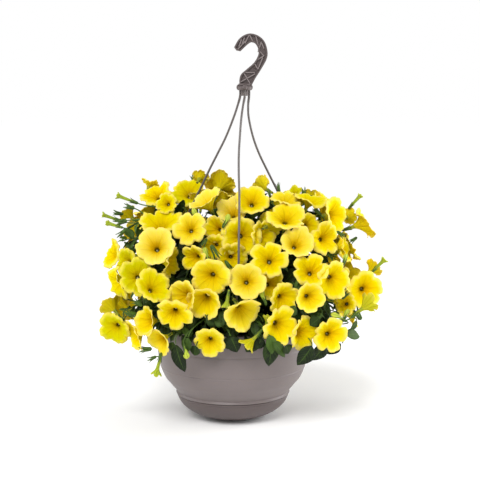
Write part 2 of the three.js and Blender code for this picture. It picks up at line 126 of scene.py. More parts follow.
# ---------- the photograph's view and the mass of flowers ----------
# The camera as it was fitted to the photograph; its focal length is in pixels.
VIEW = {
    "distance": 2200, "look_down": 7.352, "aim_height": 317.5, "aside": 12.8, "focal": 1238.7, "size": 480,
}
SENSOR = 36
# The lights, in metres: what they aim at, where the wide sun stands, and the place of the right one of
# the two side lights.
LIGHT_AIM = (0.02, 0, 0.3)
SUN = {"azimuth": -16, "out": 2, "up": 2.3, "angle": 0.45}
SIDE_LIGHT = (1.5, 0.35, 0.55)
# The mass of flowers: the height where it is widest, how far it rises above that, how far it reaches to
# the sides, the front and the back, the power that rounds its plan, and how far it stands towards +X.
MOUND = {"middle": 240, "rise": 178, "side": 226, "front": 170, "back": 190, "plan": 2.4, "aside": 6}

# Each row is one flower: column and row of its face's middle in the 480 pixel photograph, diameter,
# turn (degrees that it faces towards +X), tilt (degrees that it faces up), step (how far it stands in
# front of the mound's face), form and tone (from -1, cream, over 0, lemon, to 1, green).
FRONT_FLOWERS = [
    (155, 193, 64, -28, 48, -40, "wavy", 0.1),
    (188, 191, 70, -8, 42, -128, "wavy", 0.7),
    (221, 183.5, 62, 165, 35, -90, "wavy", 0.3),
    (233, 208, 60, -4, 50, -30, "cup", -0.9),
    (252.5, 200.5, 65, 4, 34, 0, "open", -0.1),
    (286, 216, 72, 6, 50, 14, "wavy", -0.2),
    (311, 196, 42, 160, 40, -80, "funnel", 0.2),
    (336, 215, 66, 50, 6, 0, "open", 0.0),
    (365, 223, 62, 92, 18, 0, "star", 0.0),
    (189, 228, 58, -10, 24, 10, "star", -0.4),
    (155, 244, 72, -4, 28, 16, "cup", -0.7),
    (160, 220, 82, -20, 66, -30, "wavy", 0.4),
    (241, 237, 74, 3, 4, -18, "open", 0.2),
    (297, 242, 58, 12, 32, 10, "cup", -0.5),
    (326, 238, 62, 28, 14, -5, "star", -0.1),
    (270, 259, 68, 2, 22, 6, "star", 0.2),
    (209.5, 278, 70, -15, -8, 14, "open", -0.2),
    (247, 280, 64, 2, 19, 12, "cup", -0.5),
    (311, 270, 62, 4, 28, 6, "star", 0.1),
    (334, 280, 68, 22, -8, 14, "wavy", 0.2),
    (366, 290, 71, 16, 4, 20, "open", 0.0),
    (111, 254, 56, -64, 16, -30, "wavy", 0.4),
    (115.5, 283, 65, -60, -10, 0, "wavy", 0.5),
    (137, 277, 66, 2, 12, 10, "wavy", 0.9),
    (154, 286, 66, 30, 36, 24, "wavy", 0.6),
    (182, 298, 60, -35, -4, 0, "funnel", -0.2),
    (173.5, 316, 64, -8, -24, 14, "star", -0.1),
    (244.5, 315, 67, 28, -28, 10, "cup", -0.3),
    (281, 326, 68, 28, -5, 6, "star", -0.1),
    (331, 335, 62, 15, 5, 6, "star", -0.1),
    (209, 343.5, 58, -8, -20, -4, "open", -0.2),
    (114, 329, 62, -20, -15, 24, "wavy", 1.0),
]
# More flowers of the same kind that the frame leaves out.
MORE_FLOWERS = [
    (150, 182, 36, 150, 62, -60, "wavy", 0.3),
    (225, 195, 36, 150, 62, -52, "wavy", 0.2),
    (201, 176, 34, 160, 30, -52, "wavy", 0.3),
    (202, 196, 52, 172, 56, -134, "funnel", -0.5),
    (258, 185, 50, -118, 24, -92, "funnel", 0.3),
    (293, 192, 36, -30, 50, -66, "wavy", 1.0),
    (324, 199, 42, 60, 48, -60, "funnel", 0.0),
    (214, 229, 50, -30, 10, -24, "cup", 0.0),
    (263, 235, 54, 40, 10, -20, "star", 0.0),
    (193, 259, 52, -35, -10, -16, "star", 0.0),
    (214, 247, 46, -20, -10, -34, "wavy", 0.2),
    (232, 258, 54, 10, 0, -34, "wavy", 0.1),
    (172, 262, 60, 75, 0, -22, "wavy", 0.4),
    (271, 283, 60, 20, 18, -24, "open", -0.1),
    (125, 262, 50, -40, 10, -28, "open", 0.8),
    (202.5, 303, 64, -18, -22, -2, "cup", -0.1),
    (284, 299, 60, 30, -10, -8, "wavy", 0.2),
    (311, 298, 54, 18, 0, 10, "cup", -0.2),
    (304, 333, 64, 45, 0, -8, "star", 0.1),
    (145, 321, 55, -50, 5, 4, "cup", -0.1),
    (109, 304, 46, -130, 35, 0, "funnel", 0.4),
    (132, 336, 60, -60, -20, 4, "funnel", 0.1),
    (158, 342, 52, -45, -18, 6, "cup", -0.3),
    (345, 304, 40, -20, 10, -14, "wavy", 0.1),
    (375, 267, 38, 120, 30, -20, "funnel", 0.2),
    (343, 246, 32, 80, 10, -16, "cup", 0.1),
    (350, 216, 34, 140, 10, -24, "open", 0.2),
    (127, 212, 38, -120, 40, -36, "funnel", 0.2),
    (166, 203, 40, -20, 20, -30, "wavy", 0.5),
    (308, 224, 45, 20, 20, -34, "open", 0.2),
    (271, 224, 46, 150, 10, -30, "funnel", 0.3),
    (361, 287, 54, 86, 4, -64, "open", 0.1),
    (347, 279, 52, 70, 8, -66, "star", -0.2),
    (345, 303, 50, 84, -10, -52, "cup", 0.2),
    (346, 250, 50, 76, 14, -60, "open", 0.0),
]
# Half-open flowers, as columns and rows in the photograph: where the tube starts, where the mouth is,
# the step of both in front of the mound's face, the mouth's diameter and the tone.
HALF_OPEN_FLOWERS = [
    (262, 330, 246, 347, 4, 32, 1.3),
    (352, 317, 371, 302, 18, 40, 1.4),
    (161, 354, 156, 375, 0, 20, 1.8),
    (229, 290, 226, 308, 6, 19, 1.8),
    (265, 336, 268, 316, -2, 17, 1.6),
    (137, 203, 117, 195.5, -12, 13, 2.0),
    (120, 220.5, 102, 214.5, 0, 11, 2.0),
    (122, 227.5, 107, 223, 0, 11, 2.0),
    (349, 208, 361, 195, -20, 11, 2.0),
    (372, 272, 385, 259, 6, 14, 2.0),
]
# Furled buds: column and row of the calyx and of the tip, step and width.
BUDS = [
    (266, 304, 261, 289, -4, 9),
    (184, 345, 187, 359, 2, 10),
    (223, 227, 229, 214, -6, 9),
    (211, 263, 204, 247, -10, 9),
    (200, 222, 193, 208, -8, 9),
    (343, 265, 347, 254, -8, 8),
    (346, 321, 331, 314, 8, 9),
    (343, 321, 349, 309, 0, 8),
    (296, 206, 290, 194, -40, 8),
    (283, 226, 296, 224, -20, 8),
    (296, 285, 300, 275, -4, 8),
]
# Tufts of narrow leaves where a shoot ends, as columns and rows of root and tip, and the step.
TUFTS = [
    (195, 184, 192, 172, -142), (279, 192, 276, 180, -90), (270, 196, 268, 188, -80),
    (133, 208, 122, 205, -20), (122, 214, 110, 212, -4), (125, 221, 112, 224, -4),
    (124, 231, 116, 238, -8), (305, 196, 302, 185, -60), (141, 305, 131, 299, -4),
    (131, 316, 122, 309, -2), (150, 349, 137, 350, -4), (155, 357, 146, 361, -2),
    (212, 247, 220, 262, 0), (206, 240, 200, 250, -6), (320, 214, 312, 206, -20),
    (338, 232, 346, 238, -16), (316, 322, 322, 312, -10), (360, 318, 353, 306, 0),
    (343, 298, 350, 290, -6), (262, 208, 270, 215, -30), (246, 206, 255, 210, -40),
    (168, 327, 160, 322, -10), (226, 262, 233, 272, 0), (356, 238, 348, 244, -30),
]
# Leaves that hang over the rim: column and row of root and tip, width, step and age (0 is old).
HANGING_LEAVES = [
    (176, 345, 181, 374, 23, 2, 0.0), (271, 339, 272, 368, 26, 2, 0.05), (269, 335, 275, 355, 17, 8, 0.5),
    (273, 341, 288, 357, 15, 6, 0.3), (312, 346, 300, 367, 27, 2, 0.0), (325, 344, 315, 362, 24, -8, 0.0),
    (341, 344, 328, 354, 16, -12, 0.0), (345, 334, 364, 334, 17, -13, 0.35),
    (231, 337, 238, 353, 22, 0, 0.0), (256, 338, 246, 353, 22, 0, 0.05), (173, 342, 171, 354, 16, -10, 0.2),
    (188, 338, 184, 353, 18, 0, 0.3), (262, 338, 256, 350, 18, 0, 0.0), (229, 338, 227, 350, 18, -14, 0.05),
    (196, 346, 193, 356, 18, -2, 0.1), (286, 345, 290, 354, 18, 0, 0.1), (319, 318, 311, 326, 20, -6, 0.2),
    (357, 320, 352, 333, 12, -12, 0.3), (206, 316, 222, 324, 22, -8, 0.1), (225, 324, 214, 318, 18, -8, 0.3),
    (232, 268, 241, 276, 14, 0, 0.6), (290, 315, 296, 306, 16, -8, 0.3),
]
# Flowers on the far side: azimuth, height of the face's middle, diameter, tilt, form and tone.
BACK_FLOWERS = [
    (108, 292, 62, 12, "open", 0.1),
    (128, 205, 60, -8, "star", 0.2),
    (132, 345, 62, 34, "cup", -0.4),
    (156, 262, 62, 8, "open", 0.0),
    (180, 325, 64, 26, "wavy", -0.2),
    (184, 206, 60, -10, "open", 0.3),
    (206, 268, 62, 10, "star", -0.1),
    (232, 205, 58, -8, "open", 0.6),
    (228, 348, 62, 32, "cup", -0.5),
]
# Flowers spread by chance over the top and the far side: how many places are tried, the range of their
# heights, of their share of the mound's reach and of their diameters, how much they face up at the top
# of the mound, and the share of its rise above which the front gets some too.
SPREAD = {
    "tries": 9000, "heights": (184, 400), "reach": (0.93, 1.0), "diameters": (54, 66), "top_tilt": 74,
    "top": 0.86,
}

# Forms of a flower, as shares of its diameter: how deep its funnel is, how sharply the funnel
# flattens outwards, how deep the rim is notched, how wavy it is, how far its lobes curl back and how
# far they cup.
Form = namedtuple("Form", "funnel flatten notch ruffle curl cup")
FORMS = {
    "open": Form(0.25, 1.7, 0.13, 0.022, 0.045, 0.024),
    "wavy": Form(0.23, 1.6, 0.18, 0.042, 0.050, 0.032),
    "funnel": Form(0.33, 1.25, 0.13, 0.020, 0.024, 0.020),
    "cup": Form(0.36, 1.35, 0.12, 0.020, 0.016, 0.026),
    "star": Form(0.28, 1.65, 0.24, 0.018, 0.055, 0.040),
    "half": Form(0.50, 1.1, 0.34, 0.020, 0.050, 0.060),
}
# What all forms share: the length, the radius of the tube at its foot and at its mouth, and the step at
# the mouth, as shares of the diameter; the least of both radii in metres; the share of the rings in the
# tube.
TRUMPET = {
    "length": 0.64, "base": 0.034, "least_base": 0.0015, "throat": 0.047, "least_throat": 0.0026,
    "throat_at": 0.38, "shoulder": 0.06,
}
LOBES = 5
Bloom = namedtuple("Bloom", "place axis diameter length form tone nodes")
Bud = namedtuple("Bud", "base tip width")
# The petals' relief along the seams and the middles of the lobes: (height, width), as shares of the
# diameter and of the way from a seam to a lobe's middle.
SEAM_CREASE = (0.030, 0.16)
LOBE_RIB = (0.010, 0.10)
LOBE_TIP = (0.035, 0.16)
NOTCH_WIDTH = 0.22
# The anthers, the stigma and its style, as shares of the diameter: half sizes and places, and how deep
# they stand below the tube's mouth.
HEART = {
    "anther": (0.011, 0.008, 0.014), "anther_ring": 0.020, "stigma": (0.014, 0.014, 0.010),
    "stigma_place": (0.005, -0.003, 0.016), "style_length": 0.30, "style_radius": 0.006, "depth": 0.03,
}
FULL_TURN = 6.28  # in radians

LEAF_WIDTH = 0.5  # of a leaf's length
# Where a leaf is tested for room, as (across, along) on a leaf one unit long.
LEAF_TESTS = [(0, 0.3), (0, 0.6), (0, 1), (0.24, 0.5), (-0.24, 0.5), (0, 0.8), (0.18, 0.8), (-0.18, 0.8)]
LEAF_TURN = 2.4  # radians round the stem from one leaf to the next
BARE_SHARE = 0.22  # of a stem, without leaves
YOUNG_FROM = 0.72  # the share of a stem's length where its leaves start to be younger
# A stem: the height and the ring where it leaves the soil, how its bend lies over its tip and how high
# it rises to it, how far out the bend is, the number of steps, how many are tried for the longest that
# is clear, and how deep in the mound they end.
STEM = {
    "soil": 156, "ring": (30, 95), "least_bend": 205, "over": 26, "rise": 0.55, "lean": 6, "bend": 0.72,
    "steps": 18, "tries": 8, "depth": (0.8, 0.92),
}
STEM_HEIGHTS = [186, 204, 228, 258, 290, 322, 354, 384]  # of the tips of a shoot's stems
# Stalks, in metres: their radii, how far they go straight on at their end, the best first, the step of a
# stub that finds no stem, and how far in front of a flower's face stalks and stems keep clear.
FLOWER_STALK, LEAF_STALK = 0.0011, 0.0009
STALK_ENDS = (0.018, 0.010, 0.004)
STUB_STEP = 0.004
STALK_REACH = 0.09
STALK_STEPS = 12
# What leaves, stems and stalks keep away from the middle line of a strand, from the back of the petals
# and from the middle line of a flower's tube, in metres.
MARGIN = {"strand": 0.007, "petals": 0.005, "tube": 0.006}
# The width in metres of the flower that a calyx would fit: the most for a flower's own, and a bud's. A
# tuft is a calyx too: its length is this share of its size.
CALYX = {"most": 0.062, "bud": 0.052, "tuft": 0.32}
# Leaves over the rim: their ring and height, with what each tier adds, and the range of their lengths in
# metres, at the front and elsewhere.
RIM_LEAF = {
    "ring": 141, "ring_step": 6, "height": 180, "height_step": 12, "tiers": 4,
    "front": (0.022, 0.030), "elsewhere": (0.036, 0.050),
}


# ---------- settings ----------
def paint(red, green, blue):
    """A colour as seen, 0 to 255, as the linear values that a shader takes."""
    seen = [value / 255 for value in (red, green, blue)]
    linear = [v / 12.92 if v <= 0.04045 else ((v + 0.055) / 1.055) ** 2.4 for v in seen]
    return (*linear, 1.0)


def colour_setting(name, description, seen):
    return FloatVectorProperty(
        name=name, description=description, subtype="COLOR", size=4, min=0, max=1, default=paint(*seen))


def number_setting(name, description, default, least=0.0, unit="LENGTH"):
    return FloatProperty(name=name, description=description, default=default, min=least, unit=unit)


def count_setting(name, description, default, least=0):
    return IntProperty(name=name, description=description, default=default, min=least)


class PotSettings(PropertyGroup):
    """The bowl, its saucer and the soil."""

    sides: count_setting("Sides", "Flat steps round each turned wall", 144, 24)
    groove: number_setting("Groove depth", "Depth of the mould lines round the belly", 0.0003)
    bowl_colour: colour_setting("Bowl colour", "Moulded plastic of the bowl", (119, 109, 108))
    saucer_colour: colour_setting("Saucer colour", "Darker plastic of the saucer", (92, 81, 80))
    soil_colour: colour_setting("Soil colour", "Damp peat between the crumbs", (44, 32, 24))


class HangerSettings(PropertyGroup):
    """The hook and its strands."""

    hook_colour: colour_setting("Hook colour", "Plastic of the hook", (84, 74, 73))
    # The rib colour is painted highlight: the ribs and the hook's edges are drawn paler, as if lit.
    rib_highlight_colour: colour_setting("Rib colour", "Paler rubbed ribs and edges of the hook", (128, 118, 117))
    strand_colour: colour_setting("Strand colour", "Plastic of the three strands", (98, 92, 90))


class FlowerSettings(PropertyGroup):
    """The petunias."""

    sides: count_setting("Sides", "Steps round each flower", 80, 40)
    rings: count_setting("Rings", "Steps from stalk to rim", 23, 12)
    sheet: number_setting("Petal thickness", "How thick the petals are", 0.0006, 0.0001)
    far_count: count_setting("Flowers behind", "Most flowers to spread over the top and the far side", 46)
    spacing: number_setting(
        "Spacing", "Least distance between the middles of two flowers behind", 0.045, 0.02)
    seed: count_setting("Seed", "Picks another spread of shapes", 7)
    petal_colour: colour_setting("Petal colour", "Lemon yellow of the limb", (238, 214, 4))
    deep_colour: colour_setting("Deep colour", "Golden yellow inside the funnel", (232, 192, 0))
    rim_colour: colour_setting("Rim colour", "Cream at the edge of the petals", (250, 224, 120))
    green_colour: colour_setting("Green tinge", "Yellow green of the youngest flowers", (203, 199, 4))
    back_colour: colour_setting("Back colour", "Olive yellow behind the petals", (222, 202, 20))
    lime_colour: colour_setting("Lime colour", "Pale lime of flowers about to open", (176, 194, 70))
    throat_colour: colour_setting("Throat colour", "Dark olive inside the tube", (136, 118, 18))


class ShootSettings(PropertyGroup):
    """Stems and leaves."""

    stems: count_setting("Stems", "Stems in each shoot", 8, 2)
    leaf_gap: number_setting("Leaf gap", "Distance from leaf to leaf along a stem", 0.0082, 0.003)
    leaf_length: number_setting("Leaf length", "Length of a grown leaf", 0.034, 0.01)
    stem_radius: number_setting("Stem radius", "Radius of a stem at its root", 0.0022, 0.0005)
    rim_leaves: count_setting("Rim leaves", "Leaves of each shoot that hang over the rim", 14)
    seed: count_setting("Seed", "Picks another spread of leaves", 11)
    dark_colour: colour_setting("Old leaf", "Dark green of the grown leaves", (20, 32, 13))
    young_colour: colour_setting("Young leaf", "Fresh green of the growing tips", (96, 130, 48))
    bud_colour: colour_setting("Bud colour", "Lime green of the closed buds", (176, 196, 62))


class StageSettings(PropertyGroup):
    """The floor, the light and the camera."""

    floor_size: number_setting("Floor size", "Side of the floor", 30)
    floor_colour: colour_setting("Floor colour", "Pale floor", (255, 255, 255))
    sky: number_setting(
        "Surroundings", "Light of the white surroundings, where they aren't seen directly", 0.55,
        unit="NONE")
    sun: number_setting("Main light", "Strength of the wide soft light", 2.15, unit="NONE")
    left: number_setting("Left light", "Power of the left side light", 7, unit="POWER")
    right: number_setting("Right light", "Power of the right side light", 18, unit="POWER")


class BasketSettings(PropertyGroup):
    """All settings of the basket."""

    pot: PointerProperty(type=PotSettings)
    hanger: PointerProperty(type=HangerSettings)
    flower: PointerProperty(type=FlowerSettings)
    shoot: PointerProperty(type=ShootSettings)
    stage: PointerProperty(type=StageSettings)


# ---------- working in Blender ----------
def deselect():
    if bpy.context.object and bpy.context.object.mode != "OBJECT":
        bpy.ops.object.mode_set(mode="OBJECT")
    bpy.ops.object.select_all(action="DESELECT")


def pick(*pieces):
    """Selects these pieces alone; the first is the active one."""
    deselect()
    for piece in pieces:
        piece.select_set(True)
    bpy.context.view_layer.objects.active = pieces[0]
    return pieces[0]


@contextmanager
def editing(piece, whole=True):
    """Edit mode on a piece, with the whole of it selected, or else what is selected already."""
    pick(piece)
    bpy.ops.object.mode_set(mode="EDIT")
    if whole:
        bpy.ops.mesh.select_all(action="SELECT")
    yield
    bpy.ops.object.mode_set(mode="OBJECT")


def named(piece, name):
    piece.name = name
    piece.data.name = name
    return piece


def made_of(piece, *materials):
    """Gives a piece these materials and no others."""
    piece.data.materials.clear()
    for material in materials:
        piece.data.materials.append(material)
    return piece


def finish_with(piece, kind, **settings):
    """Adds a modifier and applies it."""
    pick(piece)
    modifier = piece.modifiers.new(kind.title(), kind)
    for key, value in settings.items():
        setattr(modifier, key, value)
    bpy.ops.object.modifier_apply(modifier=modifier.name)
    return piece


def joined(name, pieces):
    pick(*pieces)
    if len(pieces) > 1:
        bpy.ops.object.join()
    return named(bpy.context.object, name)


def settle(piece):
    """Puts a piece's place into its mesh."""
    pick(piece)
    bpy.ops.object.transform_apply(location=True, rotation=True, scale=True)
    return piece


def copy_of(pattern, matrix):
    """A copy of a pattern with a mesh of its own, moved by a matrix."""
    piece = pattern.copy()
    piece.data = pattern.data.copy()
    piece.data.transform(matrix)
    bpy.context.scene.collection.objects.link(piece)
    return piece


def drop(*pieces):
    for piece in pieces:
        bpy.data.objects.remove(piece)


def cut_with(piece, tool, operation="DIFFERENCE", **settings):
    finish_with(piece, "BOOLEAN", object=tool, operation=operation, solver="EXACT", **settings)
    drop(tool)
    return piece


def mend(piece):
    """Merges doubles and turns the faces outwards."""
    with editing(piece):
        bpy.ops.mesh.remove_doubles(threshold=1e-6)
        bpy.ops.mesh.normals_make_consistent(inside=False)
    return piece


def smooth(piece):
    """Shades a piece smooth all over."""
    pick(piece)
    bpy.ops.object.shade_smooth()
    return piece


def rounded(piece, degrees):
    """Shades a piece smooth, but for edges sharper than an angle."""
    pick(piece)
    bpy.ops.object.shade_smooth_by_angle(angle=math.radians(degrees))
    return piece


def install(piece, slot, *nodes):
    """Hands a finished piece to the frame, in place of CAD nodes where it has them."""
    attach(piece, "root")
    if nodes:
        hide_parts(*nodes)


def turned(name, profile, sides, x=0.0):
    """A solid turned about an upright axis. Its profile runs from axis to axis, as (radius, height)."""
    rings = [(radius * MM, height * MM) for radius, height in profile]
    (_, bottom), (radius, height) = rings[:2]
    deselect()
    bpy.ops.mesh.primitive_circle_add(vertices=sides, radius=radius, location=(x * MM, 0, height))
    piece = settle(bpy.context.object)
    with editing(piece):
        for next_radius, next_height in rings[2:-1]:
            bpy.ops.mesh.extrude_region_move(TRANSFORM_OT_translate={"value": (0, 0, next_height - height)})
            grow = next_radius / radius
            bpy.ops.transform.resize(value=(grow, grow, 1), center_override=(x * MM, 0, next_height))
            radius, height = next_radius, next_height
        close_ring(height, rings[-1][1])
    for vertex in piece.data.vertices:
        vertex.select = vertex.index < sides
    with editing(piece, whole=False):
        close_ring(rings[1][1], bottom)
    return named(mend(piece), name)


def close_ring(height, pole):
    """Draws the selected ring together to a point on its axis."""
    bpy.ops.mesh.extrude_region_move(TRANSFORM_OT_translate={"value": (0, 0, pole - height)})
    bpy.ops.mesh.merge(type="CENTER")


def post(x, y, bottom, top, radius, sides=24):
    """A plain round post, in millimetres, to join or cut with."""
    deselect()
    bpy.ops.mesh.primitive_cylinder_add(
        vertices=sides, radius=radius * MM, depth=(top - bottom) * MM,
        location=(x * MM, y * MM, (bottom + top) / 2 * MM))
    return settle(bpy.context.object)


def slab(outline, front, back):
    """A flat piece with an outline of (across, height), from one depth to another, in millimetres."""
    deselect()
    bpy.ops.mesh.primitive_circle_add(vertices=len(outline), radius=0.05, fill_type="NGON")
    piece = bpy.context.object
    for vertex, place in zip(piece.data.vertices, outline):
        vertex.co = (place.x * MM, front * MM, place.y * MM)
    with editing(piece):
        bpy.ops.mesh.extrude_region_move(TRANSFORM_OT_translate={"value": (0, (back - front) * MM, 0)})
        bpy.ops.mesh.select_all(action="SELECT")
        bpy.ops.mesh.normals_make_consistent(inside=False)
    return piece


def ball(place, half_sizes, sides=24):
    """An ellipsoid at a place, in millimetres."""
    deselect()
    bpy.ops.mesh.primitive_uv_sphere_add(
        segments=sides, ring_count=sides // 2, radius=1, location=Vector(place) * MM,
        scale=Vector(half_sizes) * MM)
    return settle(bpy.context.object)


def drawn_in(outline, border):
    """A clockwise outline drawn in by a border all round."""
    places = []
    for before, place, after in zip(outline[-1:] + outline, outline, outline[1:] + outline[:1]):
        behind, ahead = (place - before).normalized(), (after - place).normalized()
        inward = Vector((ahead.y + behind.y, -ahead.x - behind.x)).normalized()
        share = inward.dot(Vector((ahead.y, -ahead.x)))
        places.append(place + inward * (border / max(share, 0.6)))
    return places


def tubes(name, routes, resolution=2):
    """Round stems as one mesh. Each route is a list of (place, radius), in metres."""
    curve = bpy.data.curves.new(name, "CURVE")
    curve.dimensions = "3D"
    curve.bevel_depth = 1
    curve.bevel_resolution = resolution
    curve.use_fill_caps = True
    for route in routes:
        spline = curve.splines.new("POLY")
        spline.points.add(len(route) - 1)
        for point, (place, radius) in zip(spline.points, route):
            point.co = (*place, 1)
            point.radius = radius
    piece = bpy.data.objects.new(name, curve)
    bpy.context.scene.collection.objects.link(piece)
    pick(piece)
    bpy.ops.object.convert(target="MESH")
    return named(bpy.context.object, name)


def smooth_route(places, steps):
    """Places along a smooth curve through the given ones, with some steps to each stretch."""
    ends = [2 * places[0] - places[1], *places, 2 * places[-1] - places[-2]]
    route = []
    for before, start, end, after in zip(ends, ends[1:], ends[2:], ends[3:]):
        for i in range(steps):
            t = i / steps
            bend = 2 * before - 5 * start + 4 * end - after
            twist = 3 * start - before - 3 * end + after
            route.append(start + ((end - before) * t + bend * t**2 + twist * t**3) / 2)
    return [*route, places[-1]]


def outward(azimuth):
    return Vector((math.sin(math.radians(azimuth)), -math.cos(math.radians(azimuth)), 0))


def along_azimuth(azimuth, distance, height):
    """A place in metres from a distance and a height in millimetres."""
    return (outward(azimuth) * distance + UP * height) * MM


def azimuth_of(place):
    return math.degrees(math.atan2(place.x, -place.y)) % 360


def pointing(place, axis, spin=0.0, size=1.0):
    """The matrix that takes a thing made along +Z at the origin to a place, along an axis."""
    turn = UP.rotation_difference(axis).to_matrix().to_4x4()
    return Matrix.Translation(place) @ turn @ Matrix.Rotation(spin, 4, "Z") @ Matrix.Scale(size, 4)


# ---------- materials ----------
class Value:
    """One output in a material's nodes. Arithmetic on it adds Math nodes."""

    def __init__(self, finish, output):
        self.finish = finish
        self.output = output

    def math(self, operation, *values):
        return self.finish.node("ShaderNodeMath", {"operation": operation}, values)

    def __add__(self, other):
        return self.math("ADD", self, other)

    def __radd__(self, other):
        return self.math("ADD", other, self)

    def __sub__(self, other):
        return self.math("SUBTRACT", self, other)

    def __rsub__(self, other):
        return self.math("SUBTRACT", other, self)

    def __mul__(self, other):
        return self.math("MULTIPLY", self, other)

    def __pow__(self, other):
        return self.math("POWER", self, other)

    def __abs__(self):
        return self.math("ABSOLUTE", self)

    def wave(self):
        """Its cosine, brought to the range 0 to 1."""
        return self.math("COSINE", self) * 0.5 + 0.5


class Finish:
    """A material: its nodes end in one Principled shader, which takes its constants by socket name."""

    def __init__(self, name, **constants):
        self.material = bpy.data.materials.new(name)
        self.material.use_nodes = True
        self.tree = self.material.node_tree
        self.shader = self.tree.nodes["Principled BSDF"]
        for socket, value in constants.items():
            self.shader.inputs[socket.replace("_", " ")].default_value = value

    def node(self, kind, settings=None, inputs=None, output=0):
        """Adds a node with its settings and inputs, and gives one of its outputs."""
        node = self.tree.nodes.new(kind)
        for key, value in (settings or {}).items():
            setattr(node, key, value)
        pairs = inputs.items() if isinstance(inputs, dict) else enumerate(inputs or [])
        for socket, value in pairs:
            self.feed(node.inputs[socket], value)
        return Value(self, node.outputs[output])

    def feed(self, socket, value):
        if isinstance(value, Value):
            self.tree.links.new(value.output, socket)
        else:
            socket.default_value = value

    def set(self, socket, value):
        self.feed(self.shader.inputs[socket], value)

    def own(self, name):
        """A number that each point of the piece carries."""
        return self.node("ShaderNodeAttribute", {"attribute_name": name}, output="Fac")

    def noise(self, scale, detail=3.0, roughness=0.55):
        place = self.node("ShaderNodeTexCoord", output="Object")
        inputs = {"Vector": place, "Scale": scale, "Detail": detail, "Roughness": roughness}
        return self.node("ShaderNodeTexNoise", {}, inputs)

    def rise(self, value, low, high):
        """0 where a value is below low, 1 where it is above high, smooth between."""
        return self.node("ShaderNodeMapRange", {"interpolation_type": "SMOOTHSTEP"}, [value, low, high])

    def blend(self, share, first, second):
        """A mix of two colours."""
        settings = {"data_type": "RGBA", "clamp_factor": True}
        return self.node("ShaderNodeMix", settings, {"Factor": share, 6: first, 7: second}, output=2)

    def bump(self, height, strength, distance):
        inputs = {"Height": height, "Strength": strength, "Distance": distance}
        self.set("Normal", self.node("ShaderNodeBump", {}, inputs))

    def flat_place(self):
        """Where a point is on the UV map: across and up."""
        place = self.node("ShaderNodeUVMap", {"uv_map": "UVMap"})
        split = self.node("ShaderNodeSeparateXYZ", {}, [place])
        return split, Value(self, split.output.node.outputs[1])

    def polar(self):
        """How far out a point is on a flat round UV map, 0 to 1, and at what angle."""
        across, up = (value - 0.5 for value in self.flat_place())
        angle = up.math("ARCTAN2", up, across)
        reach = up.math("SQRT", across * across + up * up)
        return reach * 2, angle


def darker(colour, share):
    return tuple(value * share for value in colour[:3]) + (1.0,)


def plastic_finish(name, colour, gloss):
    """Satin moulded plastic: a faint mottle, a fine grain and dull and shiny patches."""
    finish = Finish(name, Specular_IOR_Level=0.42)
    mottle = finish.noise(9, 4)
    specks = finish.rise(finish.noise(900, 2), 0.62, 0.74)
    tone = finish.blend(finish.rise(mottle, 0.3, 0.7), darker(colour, 0.93), darker(colour, 1.05))
    tone = finish.blend(specks * 0.16, tone, darker(colour, 0.55))
    finish.set("Base Color", tone)
    finish.set("Roughness", gloss + mottle * 0.16)
    finish.bump(finish.noise(1400, 2) + finish.noise(160, 2) * 0.8, 0.12, 0.0004)
    return finish.material


def hook_finish(name, colour, settings):
    """Dark plastic, with painted highlight: paler towards the rib colour along its sharp edges, where they
    would catch the light.
    """
    finish = Finish(name, Specular_IOR_Level=0.35)
    pointiness = finish.node("ShaderNodeNewGeometry", output="Pointiness")
    # Painted highlight: sharp edges, found by pointiness, are blended towards the paler rib colour.
    highlighted = finish.rise(pointiness + finish.noise(260, 3) * 0.02, 0.52, 0.58)
    mottle = finish.noise(90, 4)
    plain = finish.blend(mottle, darker(colour, 0.86), darker(colour, 1.14))
    finish.set("Base Color", finish.blend(highlighted * 0.3, plain, settings.rib_highlight_colour))
    finish.set("Roughness", 0.48 + mottle * 0.14)
    finish.bump(finish.noise(900, 3), 0.16, 0.0004)
    return finish.material


def soil_finish(settings):
    """Damp peat with paler fibres and bits of bark."""
    finish = Finish("soil", Roughness=0.95, Specular_IOR_Level=0.25)
    crumbs = finish.noise(420, 5, 0.7)
    fibres = finish.rise(finish.noise(900, 3), 0.6, 0.7)
    tone = finish.blend(crumbs, darker(settings.soil_colour, 0.5), darker(settings.soil_colour, 1.7))
    finish.set("Base Color", finish.blend(fibres * 0.5, tone, paint(112, 88, 62)))
    finish.bump(crumbs, 0.8, 0.002)
    return finish.material


